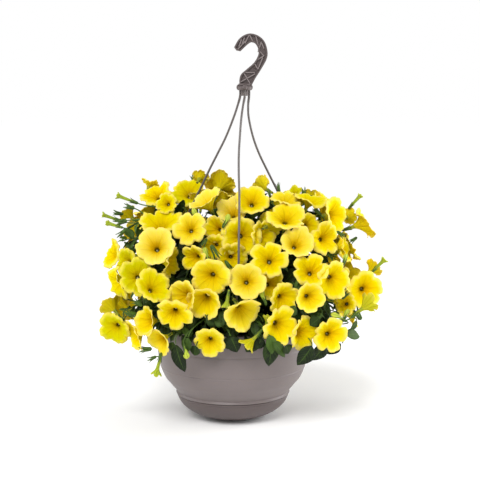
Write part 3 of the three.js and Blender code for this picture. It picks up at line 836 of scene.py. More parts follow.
def petal_finish(name, settings, back):
    """A petal's face or back: veins from the throat outwards, a pale rim and a dark throat."""
    finish = Finish(
        name, Roughness=0.75, Specular_IOR_Level=0.015, Subsurface_Weight=0.45,
        Subsurface_Radius=(1.0, 0.8, 0.05), Subsurface_Scale=0.0016)
    reach, angle = finish.polar()
    tone = finish.own("tone")
    wander = finish.noise(75, 3) - 0.5
    patches = finish.noise(38, 2)
    lobes = (angle * LOBES).wave()
    ribs = lobes**40
    seams = (1 - lobes) ** 44
    fine = (angle * 45 + wander * 9).wave() ** 3
    branching = (angle * 95 + wander * 15 + reach * 9).wave() ** 4
    inner = 1 - finish.rise(reach, 0.45, 0.95)
    veins = ribs * 0.5 + seams * 0.5 + fine * 0.35 + branching * 0.2
    green = finish.rise(tone, 0.0, 1.0)
    lime = finish.rise(tone, 1.0, 2.0)
    cream = finish.rise(tone * -1, 0.0, 1.0)
    rim = finish.rise(reach + wander * 0.16, 0.79, 1.0)
    throat = 1 - finish.rise(reach + wander * 0.03, 0.37, 0.42)
    tinge = 1 - finish.rise(reach + wander * 0.05, 0.41, 0.60)
    glow = 1 - finish.rise(reach + wander * 0.12 + patches * 0.1, 0.50, 0.92)
    if back:
        limb = finish.blend(green * 0.5, settings.back_colour, darker(settings.green_colour, 0.85))
        limb = finish.blend(rim * 0.4, limb, settings.rim_colour)
        limb = finish.blend(veins * (0.25 + inner * 0.45), limb, paint(150, 142, 20))
        limb = finish.blend(throat * 0.85, limb, paint(166, 172, 66))
        limb = finish.blend(throat * (ribs + seams), limb, paint(98, 114, 36))
        stripes = finish.blend(veins * 1.3, settings.lime_colour, paint(112, 140, 34))
        finish.set("Base Color", finish.blend(lime * 0.9, limb, stripes))
    else:
        limb = finish.blend(green, settings.petal_colour, settings.green_colour)
        limb = finish.blend(glow * (0.8 - green * 0.5), limb, settings.deep_colour)
        limb = finish.blend(cream * (0.6 - glow * 0.58), limb, settings.rim_colour)
        limb = finish.blend(veins * (0.12 + inner * 0.42), limb, paint(190, 160, 0))
        limb = finish.blend(rim * (0.8 - green * 0.35), limb, settings.rim_colour)
        limb = finish.blend(tinge * 0.36, limb, paint(188, 150, 2))
        limb = finish.blend(throat, limb, settings.throat_colour)
        finish.set("Base Color", finish.blend(lime * 0.8, limb, settings.lime_colour))
    finish.bump(veins * (0.6 + inner) + finish.noise(900, 2) * 0.3 + patches * 2, 0.65, 0.0008)
    return finish.material


def leaf_finish(settings):
    """A soft hairy leaf: midrib, side veins, and a tone from its age."""
    finish = Finish("leaf", Roughness=0.6, Specular_IOR_Level=0.18)
    across, along = finish.flat_place()
    across = abs(across - 0.5) * 2
    age = finish.own("tone")
    midrib = 1 - finish.rise(across, 0.02, 0.11)
    side_veins = ((along - across * 0.28) * 48).wave() ** 10
    blotch = finish.noise(120, 3)
    tone = finish.blend(age + (blotch - 0.5) * 0.5, settings.dark_colour, settings.young_colour)
    vein_colour = finish.blend(0.5, tone, settings.young_colour)
    tone = finish.blend(midrib * 0.45 + side_veins * 0.2, tone, vein_colour)
    finish.set("Base Color", tone)
    finish.bump(side_veins * -0.6 - midrib + finish.noise(700, 2) * 0.4, 0.4, 0.0006)
    return finish.material


def stem_finish(settings):
    """Pale green hairy stems."""
    finish = Finish("stem", Roughness=0.6, Specular_IOR_Level=0.25)
    streak = finish.noise(130, 3)
    finish.set("Base Color", finish.blend(streak, darker(settings.dark_colour, 1.3), settings.young_colour))
    finish.bump(finish.noise(1500, 2), 0.3, 0.0004)
    return finish.material


def bud_finish(settings):
    """A furled bud: lime green, yellower to its tip, with a dark line in each fold."""
    finish = Finish("bud", Roughness=0.6, Specular_IOR_Level=0.25)
    reach, angle = finish.polar()
    folds = (angle * LOBES + reach * 5).wave() ** 5
    tip = finish.rise(reach, 0.45, 1.0)
    tone = finish.blend(tip * 0.6, settings.bud_colour, paint(206, 206, 74))
    finish.set("Base Color", finish.blend(folds * 0.5, tone, paint(118, 138, 30)))
    finish.bump(folds * -1 + finish.noise(900, 2) * 0.3, 0.4, 0.0006)
    return finish.material


def pollen_finish():
    """Cream anthers and the pale stigma."""
    finish = Finish("pollen", Roughness=0.85, Specular_IOR_Level=0.2)
    grains = finish.noise(2600, 2)
    finish.set("Base Color", finish.blend(grains, paint(190, 184, 98), paint(236, 234, 200)))
    finish.bump(grains, 0.5, 0.0003)
    return finish.material


# ---------- places ----------
def view_axes():
    """The camera's place, its way ahead and its up, from the photograph."""
    down = math.radians(VIEW["look_down"])
    ahead = Vector((0, math.cos(down), -math.sin(down)))
    up = Vector((0, math.sin(down), math.cos(down)))
    eye = Vector((VIEW["aside"], 0, VIEW["aim_height"])) - ahead * VIEW["distance"]
    return eye, ahead, up


def seen_at(column, row, y):
    """The place, in millimetres, that the photograph shows at a pixel, at a distance from the axis."""
    eye, ahead, up = view_axes()
    middle = VIEW["size"] / 2
    sight = ahead + Vector((1, 0, 0)) * ((column - middle) / VIEW["focal"])
    sight += up * ((middle - row) / VIEW["focal"])
    return eye + sight * ((y - eye.y) / sight.y)


def rise_share(height):
    return min(max((height - MOUND["middle"]) / MOUND["rise"], 0), 1)


def mound_side(rise):
    """How far the mass of flowers reaches to the sides, at a share of its rise."""
    return MOUND["side"] * (1 - rise**3) ** (1 / 3)


def mound_front(x, height):
    """How far the mass of flowers reaches in front of the pot's axis."""
    rise = rise_share(height)
    front = MOUND["front"] * math.sqrt(1 - rise)
    across = min(abs(x - MOUND["aside"]) / max(mound_side(rise), 1e-6), 1)
    return front * (1 - across ** MOUND["plan"]) ** (1 / MOUND["plan"])


def mound_reach(azimuth, height, power=MOUND["plan"]):
    """How far the mass of flowers reaches from the pot's axis at an azimuth."""
    rise = rise_share(height)
    ahead = outward(azimuth)
    side = max(mound_side(rise), 1)
    depth = MOUND["front"] * math.sqrt(1 - rise) if ahead.y < 0 else MOUND["back"] * math.sqrt(1 - rise**2)
    return ((abs(ahead.x) / side) ** power + (abs(ahead.y) / max(depth, 1)) ** power) ** (-1 / power)


def facing(turn, tilt):
    return outward(turn) * math.cos(math.radians(tilt)) + UP * math.sin(math.radians(tilt))


def seen_on_mound(column, row, step):
    """The place, in millimetres, that the photograph shows at a pixel, a step in front of the mound."""
    place = seen_at(column, row, 0)
    for _ in range(6):
        place = seen_at(column, row, -mound_front(place.x, place.z) - step)
    return place


def seen_beside(root, column, row, step):
    """Like seen_on_mound, but not much nearer or farther than a root, so that nothing looks stretched."""
    place = seen_on_mound(column, row, step)
    limit = 0.5 * math.hypot(place.x - root.x, place.z - root.z)
    return seen_at(column, row, root.y + min(max(place.y - root.y, -limit), limit))


def front_bloom(row, *nodes):
    column, line, diameter, turn, tilt, step, form, tone = row
    place = seen_on_mound(column, line, step)
    axis = facing(turn, tilt)
    return Bloom(place * MM, axis, diameter * MM, TRUMPET["length"], form, tone, nodes)


def half_open_bloom(row):
    base_column, base_line, column, line, step, diameter, tone = row
    base = seen_on_mound(base_column, base_line, step)
    place = seen_beside(base, column, line, step)
    along = place - base
    return Bloom(place * MM, along.normalized(), diameter * MM, along.length / diameter, "half", tone, ())


def back_bloom(row, *nodes):
    azimuth, height, diameter, tilt, form, tone = row
    place = along_azimuth(azimuth, mound_reach(azimuth, height, power=2), height)
    return Bloom(place, facing(azimuth, tilt), diameter * MM, TRUMPET["length"], form, tone, nodes)


def spread_blooms(settings, placed):
    """Flowers spread by chance over the top and the far side, each clear of the others."""
    chance = random.Random(settings.seed)
    strands = [place for azimuth in strand_azimuths() for place in strand_route(azimuth)]
    found = []
    for _ in range(SPREAD["tries"]):
        if len(found) == settings.far_count:
            break
        azimuth = chance.uniform(0, 360)
        height = chance.uniform(*SPREAD["heights"])
        in_view = math.cos(math.radians(azimuth)) > -0.1
        if in_view and rise_share(height) < SPREAD["top"]:
            continue
        reach = mound_reach(azimuth, height) * chance.uniform(*SPREAD["reach"])
        place = along_azimuth(azimuth, reach, height)
        tilt = SPREAD["top_tilt"] * rise_share(height) ** 1.5 + chance.uniform(-12, 14)
        diameter = chance.uniform(*SPREAD["diameters"]) * MM
        if any((place - other.place).length < settings.spacing for other in [*placed, *found]):
            continue
        if any((place - strand).length < 0.5 * diameter for strand in strands):
            continue
        form = chance.choice(["open", "open", "wavy", "cup", "star", "funnel"])
        axis = facing(azimuth + chance.uniform(-22, 22), tilt)
        found.append(
            Bloom(place, axis, diameter, TRUMPET["length"], form, chance.uniform(-0.7, 0.7), ()))
    return found


def all_blooms(settings):
    numbers = (f"flower_{i:02d}" for i in range(1, 42))
    blooms = [front_bloom(row, next(numbers)) for row in FRONT_FLOWERS]
    blooms += [back_bloom(row, next(numbers)) for row in BACK_FLOWERS]
    blooms += [front_bloom(row) for row in MORE_FLOWERS]
    blooms += [half_open_bloom(row) for row in HALF_OPEN_FLOWERS]
    return blooms + spread_blooms(settings, blooms)


def all_buds():
    buds = []
    for base_column, base_line, column, line, step, width in BUDS:
        base = seen_on_mound(base_column, base_line, step)
        buds.append(Bud(base * MM, seen_beside(base, column, line, step) * MM, width * MM))
    return buds


# ---------- pot ----------
def saucer_wall(inset):
    """The saucer's outline from its top down, or one that is inset from it."""
    wall = []
    for i in range(SAUCER["steps"] + 1):
        angle = math.pi / 2 * i / SAUCER["steps"]
        flare = max(math.cos(angle), 0) ** (2 / SAUCER["roundness"])
        depth = math.sin(angle) ** (2 / SAUCER["roundness"])
        radius = SAUCER["base"] + (SAUCER["top"] - SAUCER["base"]) * flare - inset
        wall.append((radius, SAUCER["height"] + (inset - SAUCER["height"]) * depth))
    return wall


def drip_saucer(settings):
    top, edge, wall = SAUCER["height"], SAUCER["top"], SAUCER["wall"]
    low = top - SAUCER["band"]
    outside = [place for place in saucer_wall(0) if place[1] < low - 1]
    band = [
        (edge - 1, low - 0.8), (edge - 0.9, low - 0.3), (edge, low), (edge + 0.4, low + 0.6),
        (edge + 0.4, top - 1.2), (edge, top - 0.6), (edge - 0.8, top), (edge - wall + 0.5, top),
    ]
    profile = [(0, 0), *outside[::-1], *band, *saucer_wall(wall)[1:], (0, wall)]
    saucer = turned("saucer", profile, settings.sides)
    made_of(rounded(saucer, 40), plastic_finish("saucer_plastic", settings.saucer_colour, 0.42))
    install(saucer, "saucer_plastic", "drip_saucer")


def belly_curve(groove):
    """The belly's outline, smooth, with its fine grooves."""
    curve = smooth_route([Vector(place) for place in (*LIP_BEAD[-2:], *BELLY)], 5)
    for height in GROOVES:
        below = max((place for place in curve if place.y < height), key=lambda place: place.y)
        above = min((place for place in curve if place.y > height), key=lambda place: place.y)
        share = (height - below.y) / (above.y - below.y)
        middle = below.lerp(above, share)
        curve = [place for place in curve if abs(place.y - height) > 1.6]
        for offset, depth in ((-1.3, 0), (-0.5, groove / MM), (0.3, groove / MM), (1.1, 0)):
            curve.append(Vector((middle.x - depth, height + offset)))
    return sorted(((place.x, place.y) for place in curve), key=lambda place: place[1])[6:]


def pot_bowl(settings):
    belly = belly_curve(settings.groove)
    wall = BOWL["wall"]
    edge = belly[-1][0]
    under = BOWL["rim_height"] - RIM_FLANGE["thickness"]
    top, rim = BOWL["rim_height"], RIM_FLANGE["radius"]
    outside = [
        (0, BOWL_FOOT[2][1]), *BOWL_FOOT[::-1], *LIP_BEAD, *belly,
        (edge, under - 1.2), (edge + 1.2, under), (rim - 0.8, under), (rim, under + 0.8), (rim, top - 0.8),
        (rim - 0.8, top), (edge - wall + 0.8, top), (edge - wall, top - 0.8),
    ]
    inside = [(radius - wall, height) for radius, height in BELLY[::-1]]
    inside += [(radius - wall, height + wall) for radius, height in BOWL_FOOT]
    bowl = turned("bowl", [*outside, *inside, (0, BOWL_FOOT[2][1] + wall)], settings.sides)
    for i in range(DRAIN["count"]):
        place = outward(360 * i / DRAIN["count"]) * DRAIN["ring"]
        cut_with(bowl, post(place.x, place.y, DRAIN["bottom"], DRAIN["top"], DRAIN["radius"]))
    for azimuth in strand_azimuths():
        place = outward(azimuth) * STRAND_FOOT["ring"]
        cut_with(bowl, post(place.x, place.y, under - 3, top + 3, STRAND_FOOT["hole_radius"], 16))
    made_of(rounded(bowl, 32), plastic_finish("pot_plastic", settings.bowl_colour, 0.36))
    install(bowl, "pot_plastic", "pot_bowl")


def potting_soil(settings):
    """A filled bowl of soil with a lumpy top."""
    inset = SOIL["inset"]
    wall = [(radius - inset, height) for radius, height in BELLY]
    edge = wall[-1][0]
    foot = [(radius - inset, height + inset) for radius, height in BOWL_FOOT[::-1]]
    top = []
    for i in range(SOIL["rings"]):
        share = i / SOIL["rings"]
        height = SOIL["edge"] + (SOIL["crown"] - SOIL["edge"]) * math.sin(math.pi / 2 * share)
        top.append((edge * (1 - share), height))
    soil = turned("soil", [(0, foot[0][1]), *foot, *wall, *top, (0, SOIL["crown"])], SOIL["sides"])
    chance = random.Random(settings.sides)
    for vertex in soil.data.vertices:
        if vertex.co.z > SOIL["edge"] * MM + 1e-5:
            vertex.co.z += chance.uniform(*SOIL["lumps"])
    made_of(rounded(soil, 60), soil_finish(settings))
    install(soil, "soil", "potting_soil")


# ---------- hanger ----------
def strand_azimuths():
    return [STRAND["first_azimuth"] + 360 * i / len(STRAND_NAMES) for i in range(len(STRAND_NAMES))]


def strand_route(azimuth):
    """Places down one strand, from its socket in the collar to its knob under the rim."""
    top = COLLAR["bottom"] + STRAND["socket_depth"] - GAP
    places = []
    for i, (height, distance, lean) in enumerate(STRAND_ROUTE):
        place = outward(azimuth) * distance + UP * (height if i else top)
        places.append((place + Vector((lean, 0, 0))) * MM)
    foot = BOWL["rim_height"] - RIM_FLANGE["thickness"] - GAP - 2
    places.append(along_azimuth(azimuth, STRAND_FOOT["ring"], foot))
    return smooth_route(places, 6)


def hook_blade():
    """A flat hook with rounded edges and a raised border round sunk faces."""
    outer, inner = (smooth_route([Vector(place) for place in side], 5) for side in (HOOK_OUTER, HOOK_INNER))
    outline = [*outer, *inner, Vector(HOOK_TIP)]
    half = HOOK["thickness"] / 2
    blade = slab(outline, -half, half)
    with editing(blade, whole=False):
        mesh = bmesh.from_edit_mesh(blade.data)
        for face in mesh.faces:
            face.select_set(abs(face.normal.y) > 0.9)
        bmesh.update_edit_mesh(blade.data)
        bpy.ops.mesh.region_to_loop()
        bpy.ops.mesh.bevel(offset=HOOK["bevel"] * MM, segments=3, affect="EDGES")
    sunk = drawn_in(outline, HOOK["border"])
    cut_with(blade, slab(sunk, -half - 1, HOOK["recess"] - half))
    cut_with(blade, slab(sunk, half - HOOK["recess"], half + 1))
    return blade


def hook_ribs():
    """Thin crossed bars that fill the hook's sunk faces."""
    depth = HOOK["thickness"] - 2 * HOOK["rib_sink"]
    bars = []
    for start, end in HOOK_RIBS:
        start, end = (Vector((across, 0, height)) for across, height in (start, end))
        along = end - start
        deselect()
        bpy.ops.mesh.primitive_cube_add(
            size=1, location=(start + end) / 2 * MM, rotation=(0, math.atan2(along.x, along.z), 0),
            scale=(HOOK["rib"] * MM, depth * MM, along.length * MM))
        bar = settle(bpy.context.object)
        bars.append(finish_with(bar, "BEVEL", width=0.35 * MM, segments=2))
    return bars


def hanger_hook(settings):
    x, bottom, top = COLLAR["x"], COLLAR["bottom"], COLLAR["top"]
    hook = made_of(hook_blade(), hook_finish("hook_plastic", settings.hook_colour, settings))
    # Painted highlight: the ribs are a paler copy of the hook's plastic, standing for the light on them.
    pale = hook_finish("hook_rib_highlight", settings.rib_highlight_colour, settings)
    for bar in hook_ribs():
        cut_with(hook, made_of(bar, pale), "UNION", material_mode="TRANSFER")
    radius = COLLAR["radius"]
    collar = turned("collar", [
        (0, bottom), (radius - 2.2, bottom), (radius - 0.8, bottom + 0.6), (radius, bottom + 2.2),
        (radius, top - 6.2), (radius - 0.8, top - 4.8), (radius - 2.2, top - 4.2), (radius - 2.2, top - 3.4),
        (radius - 0.9, top - 2.6), (radius - 0.9, top - 1.2), (radius - 2.4, top), (0, top)], 48, x)
    cut_with(hook, collar, "UNION")
    core = turned("core", [
        (0, CORE["bottom"]), (CORE["radius"] - 0.8, CORE["bottom"]), (CORE["radius"], CORE["bottom"] + 0.8),
        (CORE["radius"], bottom + 2), (0, bottom + 2)], 32, x)
    cut_with(hook, core, "UNION")
    for azimuth in strand_azimuths():
        ear = outward(azimuth) * COLLAR["ear_ring"]
        radius = COLLAR["ear_radius"]
        cut_with(hook, ball((x + ear.x, ear.y, bottom + 5.2), (radius, radius, 5.4)), "UNION")
    for azimuth in strand_azimuths():
        socket = outward(azimuth) * STRAND["ring"]
        socket_top = bottom + STRAND["socket_depth"]
        tool = post(x + socket.x, socket.y, CORE["bottom"] - 1, socket_top, STRAND["socket_radius"], 16)
        cut_with(hook, tool)
    install(rounded(named(hook, "hook"), 35), "hook_plastic", "hanger_hook")


def strand_radius(height):
    """A strand's radius at a height, in millimetres: thicker where a sleeve holds it."""
    in_sleeve = STRAND["sleeve_end"] < height < COLLAR["bottom"] - GAP
    return STRAND["sleeve_radius"] if in_sleeve else STRAND["radius"]


def strands(settings):
    """Three strands, each with the knob that holds it under the rim."""
    finish = plastic_finish("strand_plastic", settings.strand_colour, 0.22)
    knob_top = BOWL["rim_height"] - RIM_FLANGE["thickness"] - GAP
    for name, azimuth in zip(STRAND_NAMES, strand_azimuths()):
        route = [(place, strand_radius(place.z / MM) * MM) for place in strand_route(azimuth)]
        cord = tubes(name, [route], 4)
        radius = STRAND_FOOT["knob_radius"]
        low = knob_top - STRAND_FOOT["knob_height"]
        knob = turned("knob", [
            (0, low), (radius - 1.4, low), (radius, low + 1.4), (radius, knob_top - 0.8),
            (radius - 0.8, knob_top), (0, knob_top)], 20)
        foot = outward(azimuth) * STRAND_FOOT["ring"] * MM
        knob.data.transform(Matrix.Translation(foot))
        strand = joined(name.replace("strand", "cord"), [cord, knob])
        install(made_of(rounded(strand, 50), finish), "strand_plastic", name)


# ---------- flowers ----------
def give_tone(piece, tone):
    """Lets every point of a piece carry one number, its tone."""
    mesh = piece.data
    own = mesh.attributes.get("tone") or mesh.attributes.new("tone", "FLOAT", "POINT")
    own.data.foreach_set("value", [tone] * len(mesh.vertices))
    return piece


def flat_map(mesh, spot_of):
    """Lays out a mesh's one UV map: where each point is on it, from its place."""
    layer = mesh.uv_layers.active or mesh.uv_layers.new()
    layer.name = "UVMap"
    for loop in mesh.loops:
        layer.data[loop.index].uv = spot_of(mesh.vertices[loop.vertex_index].co)


def blank_trumpet(settings):
    """A plain tube of rings, one unit wide, that every flower is shaped from."""
    deselect()
    bpy.ops.mesh.primitive_circle_add(vertices=settings.sides, radius=1)
    blank = bpy.context.object
    with editing(blank):
        for _ in range(settings.rings - 1):
            bpy.ops.mesh.extrude_region_move(TRANSFORM_OT_translate={"value": (0, 0, 1)})
    reach = 0.5 / (settings.rings - 1)
    flat_map(blank.data, lambda place: (0.5 + reach * place.z * place.x, 0.5 + reach * place.z * place.y))
    return named(blank, "blank_trumpet")


def unrolled(blank, rings):
    """How far up a blank trumpet each of its points is, 0 to 1, and at what angle."""
    places = np.empty(len(blank.data.vertices) * 3)
    blank.data.vertices.foreach_get("co", places)
    x, y, z = places.reshape(-1, 3).T
    return z / (rings - 1), np.arctan2(y, x)


def shaped(blank, shape):
    """A copy of a blank trumpet with its points moved to the places in a shape."""
    piece = copy_of(blank, Matrix.Identity(4))
    piece.data.vertices.foreach_set("co", shape.ravel())
    piece.data.update()
    return piece


def unit(value):
    """Keeps values between 0 and 1."""
    return np.clip(value, 0, 1)


def hill(distance, width):
    """A smooth hill: 1 in its middle, about a third at its width, and soon nothing."""
    return np.exp(-((distance / width) ** 2))


def bloom_shape(along, angle, bloom, chance):
    """Where the points of a blank trumpet go on one flower. It faces +Z, its face's middle at the origin."""
    form = FORMS[bloom.form]
    size = bloom.diameter
    throat_at = TRUMPET["throat_at"]
    tube = unit(along / throat_at)
    limb = unit((along - throat_at) / (1 - throat_at))

    # The rim: five lobes with notches where they meet, no two quite alike.
    lobe = np.cos(LOBES * angle)
    from_seam = np.arccos(np.clip(-lobe, -1, 1)) / math.pi
    rim = 1 - form.notch * hill(from_seam, NOTCH_WIDTH)
    rim -= LOBE_TIP[0] * hill(1 - from_seam, LOBE_TIP[1])
    lift = np.zeros_like(angle)
    for i in range(LOBES):
        aside = angle - 2 * math.pi * i / LOBES
        nearness = unit(np.cos(aside)) ** 3
        rim = rim + nearness * chance.uniform(-0.10, 0.05)
        lift += nearness * (chance.uniform(-0.07, 0.06) + chance.uniform(-0.16, 0.16) * np.sin(aside))

    # From the foot up the tube to its mouth, which is a little five-cornered, and out over the funnel.
    mouth = max(TRUMPET["throat"] * size, TRUMPET["least_throat"])
    base = max(TRUMPET["base"] * size, TRUMPET["least_base"])
    shoulder = TRUMPET["shoulder"]
    star = 1 + 0.07 * lobe * hill(limb, 0.25) * tube**2
    radius = base + (mouth * star - base) * tube**1.6 + (rim * size / 2 - mouth * star) * limb
    mouth_depth = (form.funnel + shoulder) * size
    depth = bloom.length * size
    height = -depth + (depth - mouth_depth) * tube
    height += (form.funnel * (1 - (1 - limb) ** form.flatten) + shoulder * (1 - np.exp(-limb / 0.09))) * size
    height -= form.curl * unit((limb - 0.72) / 0.28) ** 2 * size
    height += (form.cup * lobe + lift) * limb**2 * size

    # Creases along the seams, a low rib along each lobe, and waves that grow towards the rim.
    height -= SEAM_CREASE[0] * size * hill(from_seam, SEAM_CREASE[1]) * limb * (1 - 0.35 * limb)
    height += LOBE_RIB[0] * size * hill(1 - from_seam, LOBE_RIB[1]) * limb * (1 - limb) * 4
    for count in (chance.choice([9, 11, 12]), chance.choice([16, 19, 23])):
        wave = np.sin(count * angle + chance.uniform(0, FULL_TURN))
        height += form.ruffle * 0.6 * wave * limb**5 * size
    # One side folds in or out, and the whole limb bows a little.
    fold = unit(np.cos(angle - chance.uniform(0, FULL_TURN))) ** 3
    height += chance.uniform(-0.05, 0.16) * fold * limb**1.5 * size
    bow = chance.uniform(0, FULL_TURN)
    height += chance.uniform(-0.07, 0.07) * np.cos(2 * (angle - bow)) * limb**2 * size
    angle = angle + chance.uniform(-0.12, 0.12) * limb + 0.05 * np.sin(3 * angle + bow) * limb
    return np.column_stack([radius * np.cos(angle), radius * np.sin(angle), height])


def bud_shape(along, angle, bud):
    """Where the points of a blank trumpet go on a furled bud. It stands on the origin, along +Z."""
    length = (bud.tip - bud.base).length
    swell = unit((along - 0.2) / 0.5) ** 1.5
    close = np.sqrt(1 - unit((along - 0.7) / 0.3) ** 2) * unit(along / 0.05) ** 0.5
    folds = 1 + 0.13 * np.cos(LOBES * (angle + 2.2 * along)) * swell
    radius = bud.width / 2 * (0.32 + 0.68 * swell) * close * folds
    bend = 0.05 * length * np.sin(math.pi * along)
    return np.column_stack([radius * np.cos(angle) + bend, radius * np.sin(angle), along * length])


def heart_pattern(finish):
    """Five anthers round a stigma on its style, one unit to a flower one unit wide."""
    parts = []
    ring = HEART["anther_ring"]
    for i in range(LOBES):
        angle = 2 * math.pi * (i + 0.5) / LOBES
        deselect()
        bpy.ops.mesh.primitive_uv_sphere_add(
            segments=8, ring_count=6, radius=1, rotation=(0.35, 0, angle), scale=HEART["anther"],
            location=(ring * math.cos(angle), ring * math.sin(angle), -HEART["anther"][2] * (i % 2)))
        parts.append(settle(bpy.context.object))
    parts.append(ball(Vector(HEART["stigma_place"]) / MM, Vector(HEART["stigma"]) / MM, 10))
    foot, tip = Vector((0, 0, -HEART["style_length"])), Vector((*HEART["stigma_place"][:2], 0.01))
    style = [(foot.lerp(tip, along), HEART["style_radius"]) for along in (0, 0.5, 1)]
    parts.append(tubes("style", [style], 1))
    return smooth(made_of(joined("heart", parts), finish))


def flowers(settings):
    """Every open flower, shaped from one blank."""
    chance = random.Random(settings.seed)
    face = petal_finish("petal_face", settings, back=False)
    back = petal_finish("petal_back", settings, back=True)
    blank = made_of(blank_trumpet(settings), face, back)
    along, angle = unrolled(blank, settings.rings)
    heart = heart_pattern(pollen_finish())
    extra = 0
    for bloom in all_blooms(settings):
        petals = shaped(blank, bloom_shape(along, angle, bloom, chance))
        finish_with(
            petals, "SOLIDIFY", thickness=settings.sheet, offset=-1, material_offset=1,
            material_offset_rim=0, use_even_offset=False)
        parts = [petals]
        if bloom.form != "half":
            depth = (FORMS[bloom.form].funnel + TRUMPET["shoulder"] + HEART["depth"]) * bloom.diameter
            heart_place = Matrix.Translation((0, 0, -depth)) @ Matrix.Scale(bloom.diameter, 4)
            parts.append(copy_of(heart, heart_place))
        extra += not bloom.nodes
        name = bloom.nodes[0].replace("flower", "bloom") if bloom.nodes else f"more_bloom_{extra:02d}"
        piece = give_tone(joined(name, parts), bloom.tone)
        piece.data.transform(pointing(bloom.place, bloom.axis, chance.uniform(0, 2 * math.pi)))
        install(smooth(piece), "petal", *bloom.nodes)
    drop(blank, heart)


def buds(shoot_settings, flower_settings):
    """The furled buds, shaped from the flowers' blank."""
    chance = random.Random(shoot_settings.seed)
    blank = made_of(blank_trumpet(flower_settings), bud_finish(shoot_settings))
    along, angle = unrolled(blank, flower_settings.rings)
    for i, bud in enumerate(all_buds(), 1):
        piece = named(shaped(blank, bud_shape(along, angle, bud)), f"bud_{i:02d}")
        way = (bud.tip - bud.base).normalized()
        piece.data.transform(pointing(bud.base, way, chance.uniform(0, 2 * math.pi)))
        install(smooth(mend(piece)), "petal")
    drop(blank)


# ---------- shoots ----------
def leaf_pattern(name, fold, droop, wave, width):
    """A pointed oval leaf along +Y from the origin, one unit long, its upper side up."""
    deselect()
    bpy.ops.mesh.primitive_grid_add(x_subdivisions=4, y_subdivisions=7, size=1)
    leaf = bpy.context.object
    flat_map(leaf.data, lambda place: (place.x + 0.5, place.y + 0.5))
    for vertex in leaf.data.vertices:
        across, along = vertex.co.x * 2, vertex.co.y + 0.5
        half = 0.03 + width / 2 * math.sin(math.pi * along**0.8) ** 0.9 if along < 1 else 0.004
        x = across * half
        ripple = wave * math.sin(7 * along + 2 * across) * abs(across)
        vertex.co = (x, along, fold * abs(across) * half - droop * along**2 + ripple)
    return named(smooth(finish_with(leaf, "SOLIDIFY", thickness=0.012, offset=-1)), name)


def sepals_pattern(finish):
    """A calyx: five narrow sepals round the foot of a flower, one unit to a flower one unit wide."""
    deselect()
    bpy.ops.mesh.primitive_grid_add(x_subdivisions=2, y_subdivisions=5, size=1)
    sepal = bpy.context.object
    for vertex in sepal.data.vertices:
        across, along = vertex.co.x * 2, vertex.co.y + 0.5
        half = 0.022 * math.sin(math.pi * (0.12 + 0.86 * along)) ** 0.7
        away = 0.040 + 0.020 * along + 0.075 * max(0, along - 0.45) ** 2
        vertex.co = (away - 0.35 * across**2 * half, across * half, 0.25 * along - 0.01)
    finish_with(sepal, "SOLIDIFY", thickness=0.008, offset=0)
    leaves = [copy_of(sepal, Matrix.Rotation(2 * math.pi * (i + 0.5) / LOBES, 4, "Z")) for i in range(LOBES)]
    drop(sepal)
    cup = turned("cup", [(0, -45), (16, -42), (34, -20), (42, 0), (40, 30), (0, 30)], 12)
    return smooth(made_of(joined("sepals", [*leaves, cup]), finish))


def bezier(start, first, second, end, steps):
    """Places along a curve that leaves its start towards one place and reaches its end from another."""
    route = []
    for i in range(steps + 1):
        t = i / steps
        route.append(
            start * (1 - t) ** 3 + first * 3 * t * (1 - t) ** 2 + second * 3 * t**2 * (1 - t) + end * t**3)
    return route


def stem_route(azimuth, height, depth, chance):
    """One stem: up out of the soil and over to a place just inside the mass of flowers."""
    root = along_azimuth(azimuth + chance.uniform(-8, 8), chance.uniform(*STEM["ring"]), STEM["soil"])
    reach = mound_reach(azimuth, height) * depth
    tip = along_azimuth(azimuth, reach, height)
    over = max(height, STEM["least_bend"]) + STEM["over"]
    bend = along_azimuth(azimuth, reach * STEM["bend"], over)
    rise = root + (UP * (STEM["rise"] * (over - STEM["soil"])) + outward(azimuth) * STEM["lean"]) * MM
    return bezier(root, rise, bend, tip, STEM["steps"])


def clear_stem(azimuth, height, thicket, chance):
    """A stem clear of the flowers: the longest of a few, each cut short where it meets one."""
    best = []
    for _ in range(STEM["tries"]):
        around, up = azimuth + chance.uniform(-5, 5), height + chance.uniform(-8, 8)
        route = stem_route(around, up, chance.uniform(*STEM["depth"]), chance)
        blocked = (i for i, place in enumerate(route) if not thicket.clear([place], reach=STALK_REACH))
        free = route[: next(blocked, len(route))]
        if len(free) > len(best):
            best = free
    return best


class Thicket:
    """Where the open flowers and the strands are, so that leaves keep out of them."""

    def __init__(self, blooms):
        self.places = np.array([bloom.place for bloom in blooms])
        self.axes = np.array([bloom.axis for bloom in blooms])
        self.sizes = np.array([bloom.diameter for bloom in blooms])
        self.lengths = np.array([bloom.diameter * bloom.length for bloom in blooms])
        self.funnels = np.array([FORMS[bloom.form].funnel for bloom in blooms])
        self.strands = np.array([place for azimuth in strand_azimuths() for place in strand_route(azimuth)])

    def clear(self, points, own=None, reach=0.05):
        """True if no point lies up to a reach in front of a flower's face, in its petals or on a strand.

        The flower with the number own, whose stalk is tested, doesn't count.
        """
        for point in points:
            if np.linalg.norm(self.strands - np.array(point), axis=1).min() < MARGIN["strand"]:
                return False
            offset = np.array(point) - self.places
            ahead = (offset * self.axes).sum(1)
            aside = np.linalg.norm(offset - ahead[:, None] * self.axes, axis=1)
            out = aside / (self.sizes / 2)
            face = -(self.funnels + TRUMPET["shoulder"]) * self.sizes * unit(1 - out) ** 1.4
            behind = face - MARGIN["petals"] - MARGIN["petals"] * out
            blocked = (out < 1.04) & (ahead > behind) & (ahead < reach)
            tube = (aside < MARGIN["tube"]) & (ahead > -self.lengths) & (ahead < 0)
            hit = blocked | tube
            if own is not None:
                hit[own] = False
            if hit.any():
                return False
        return True


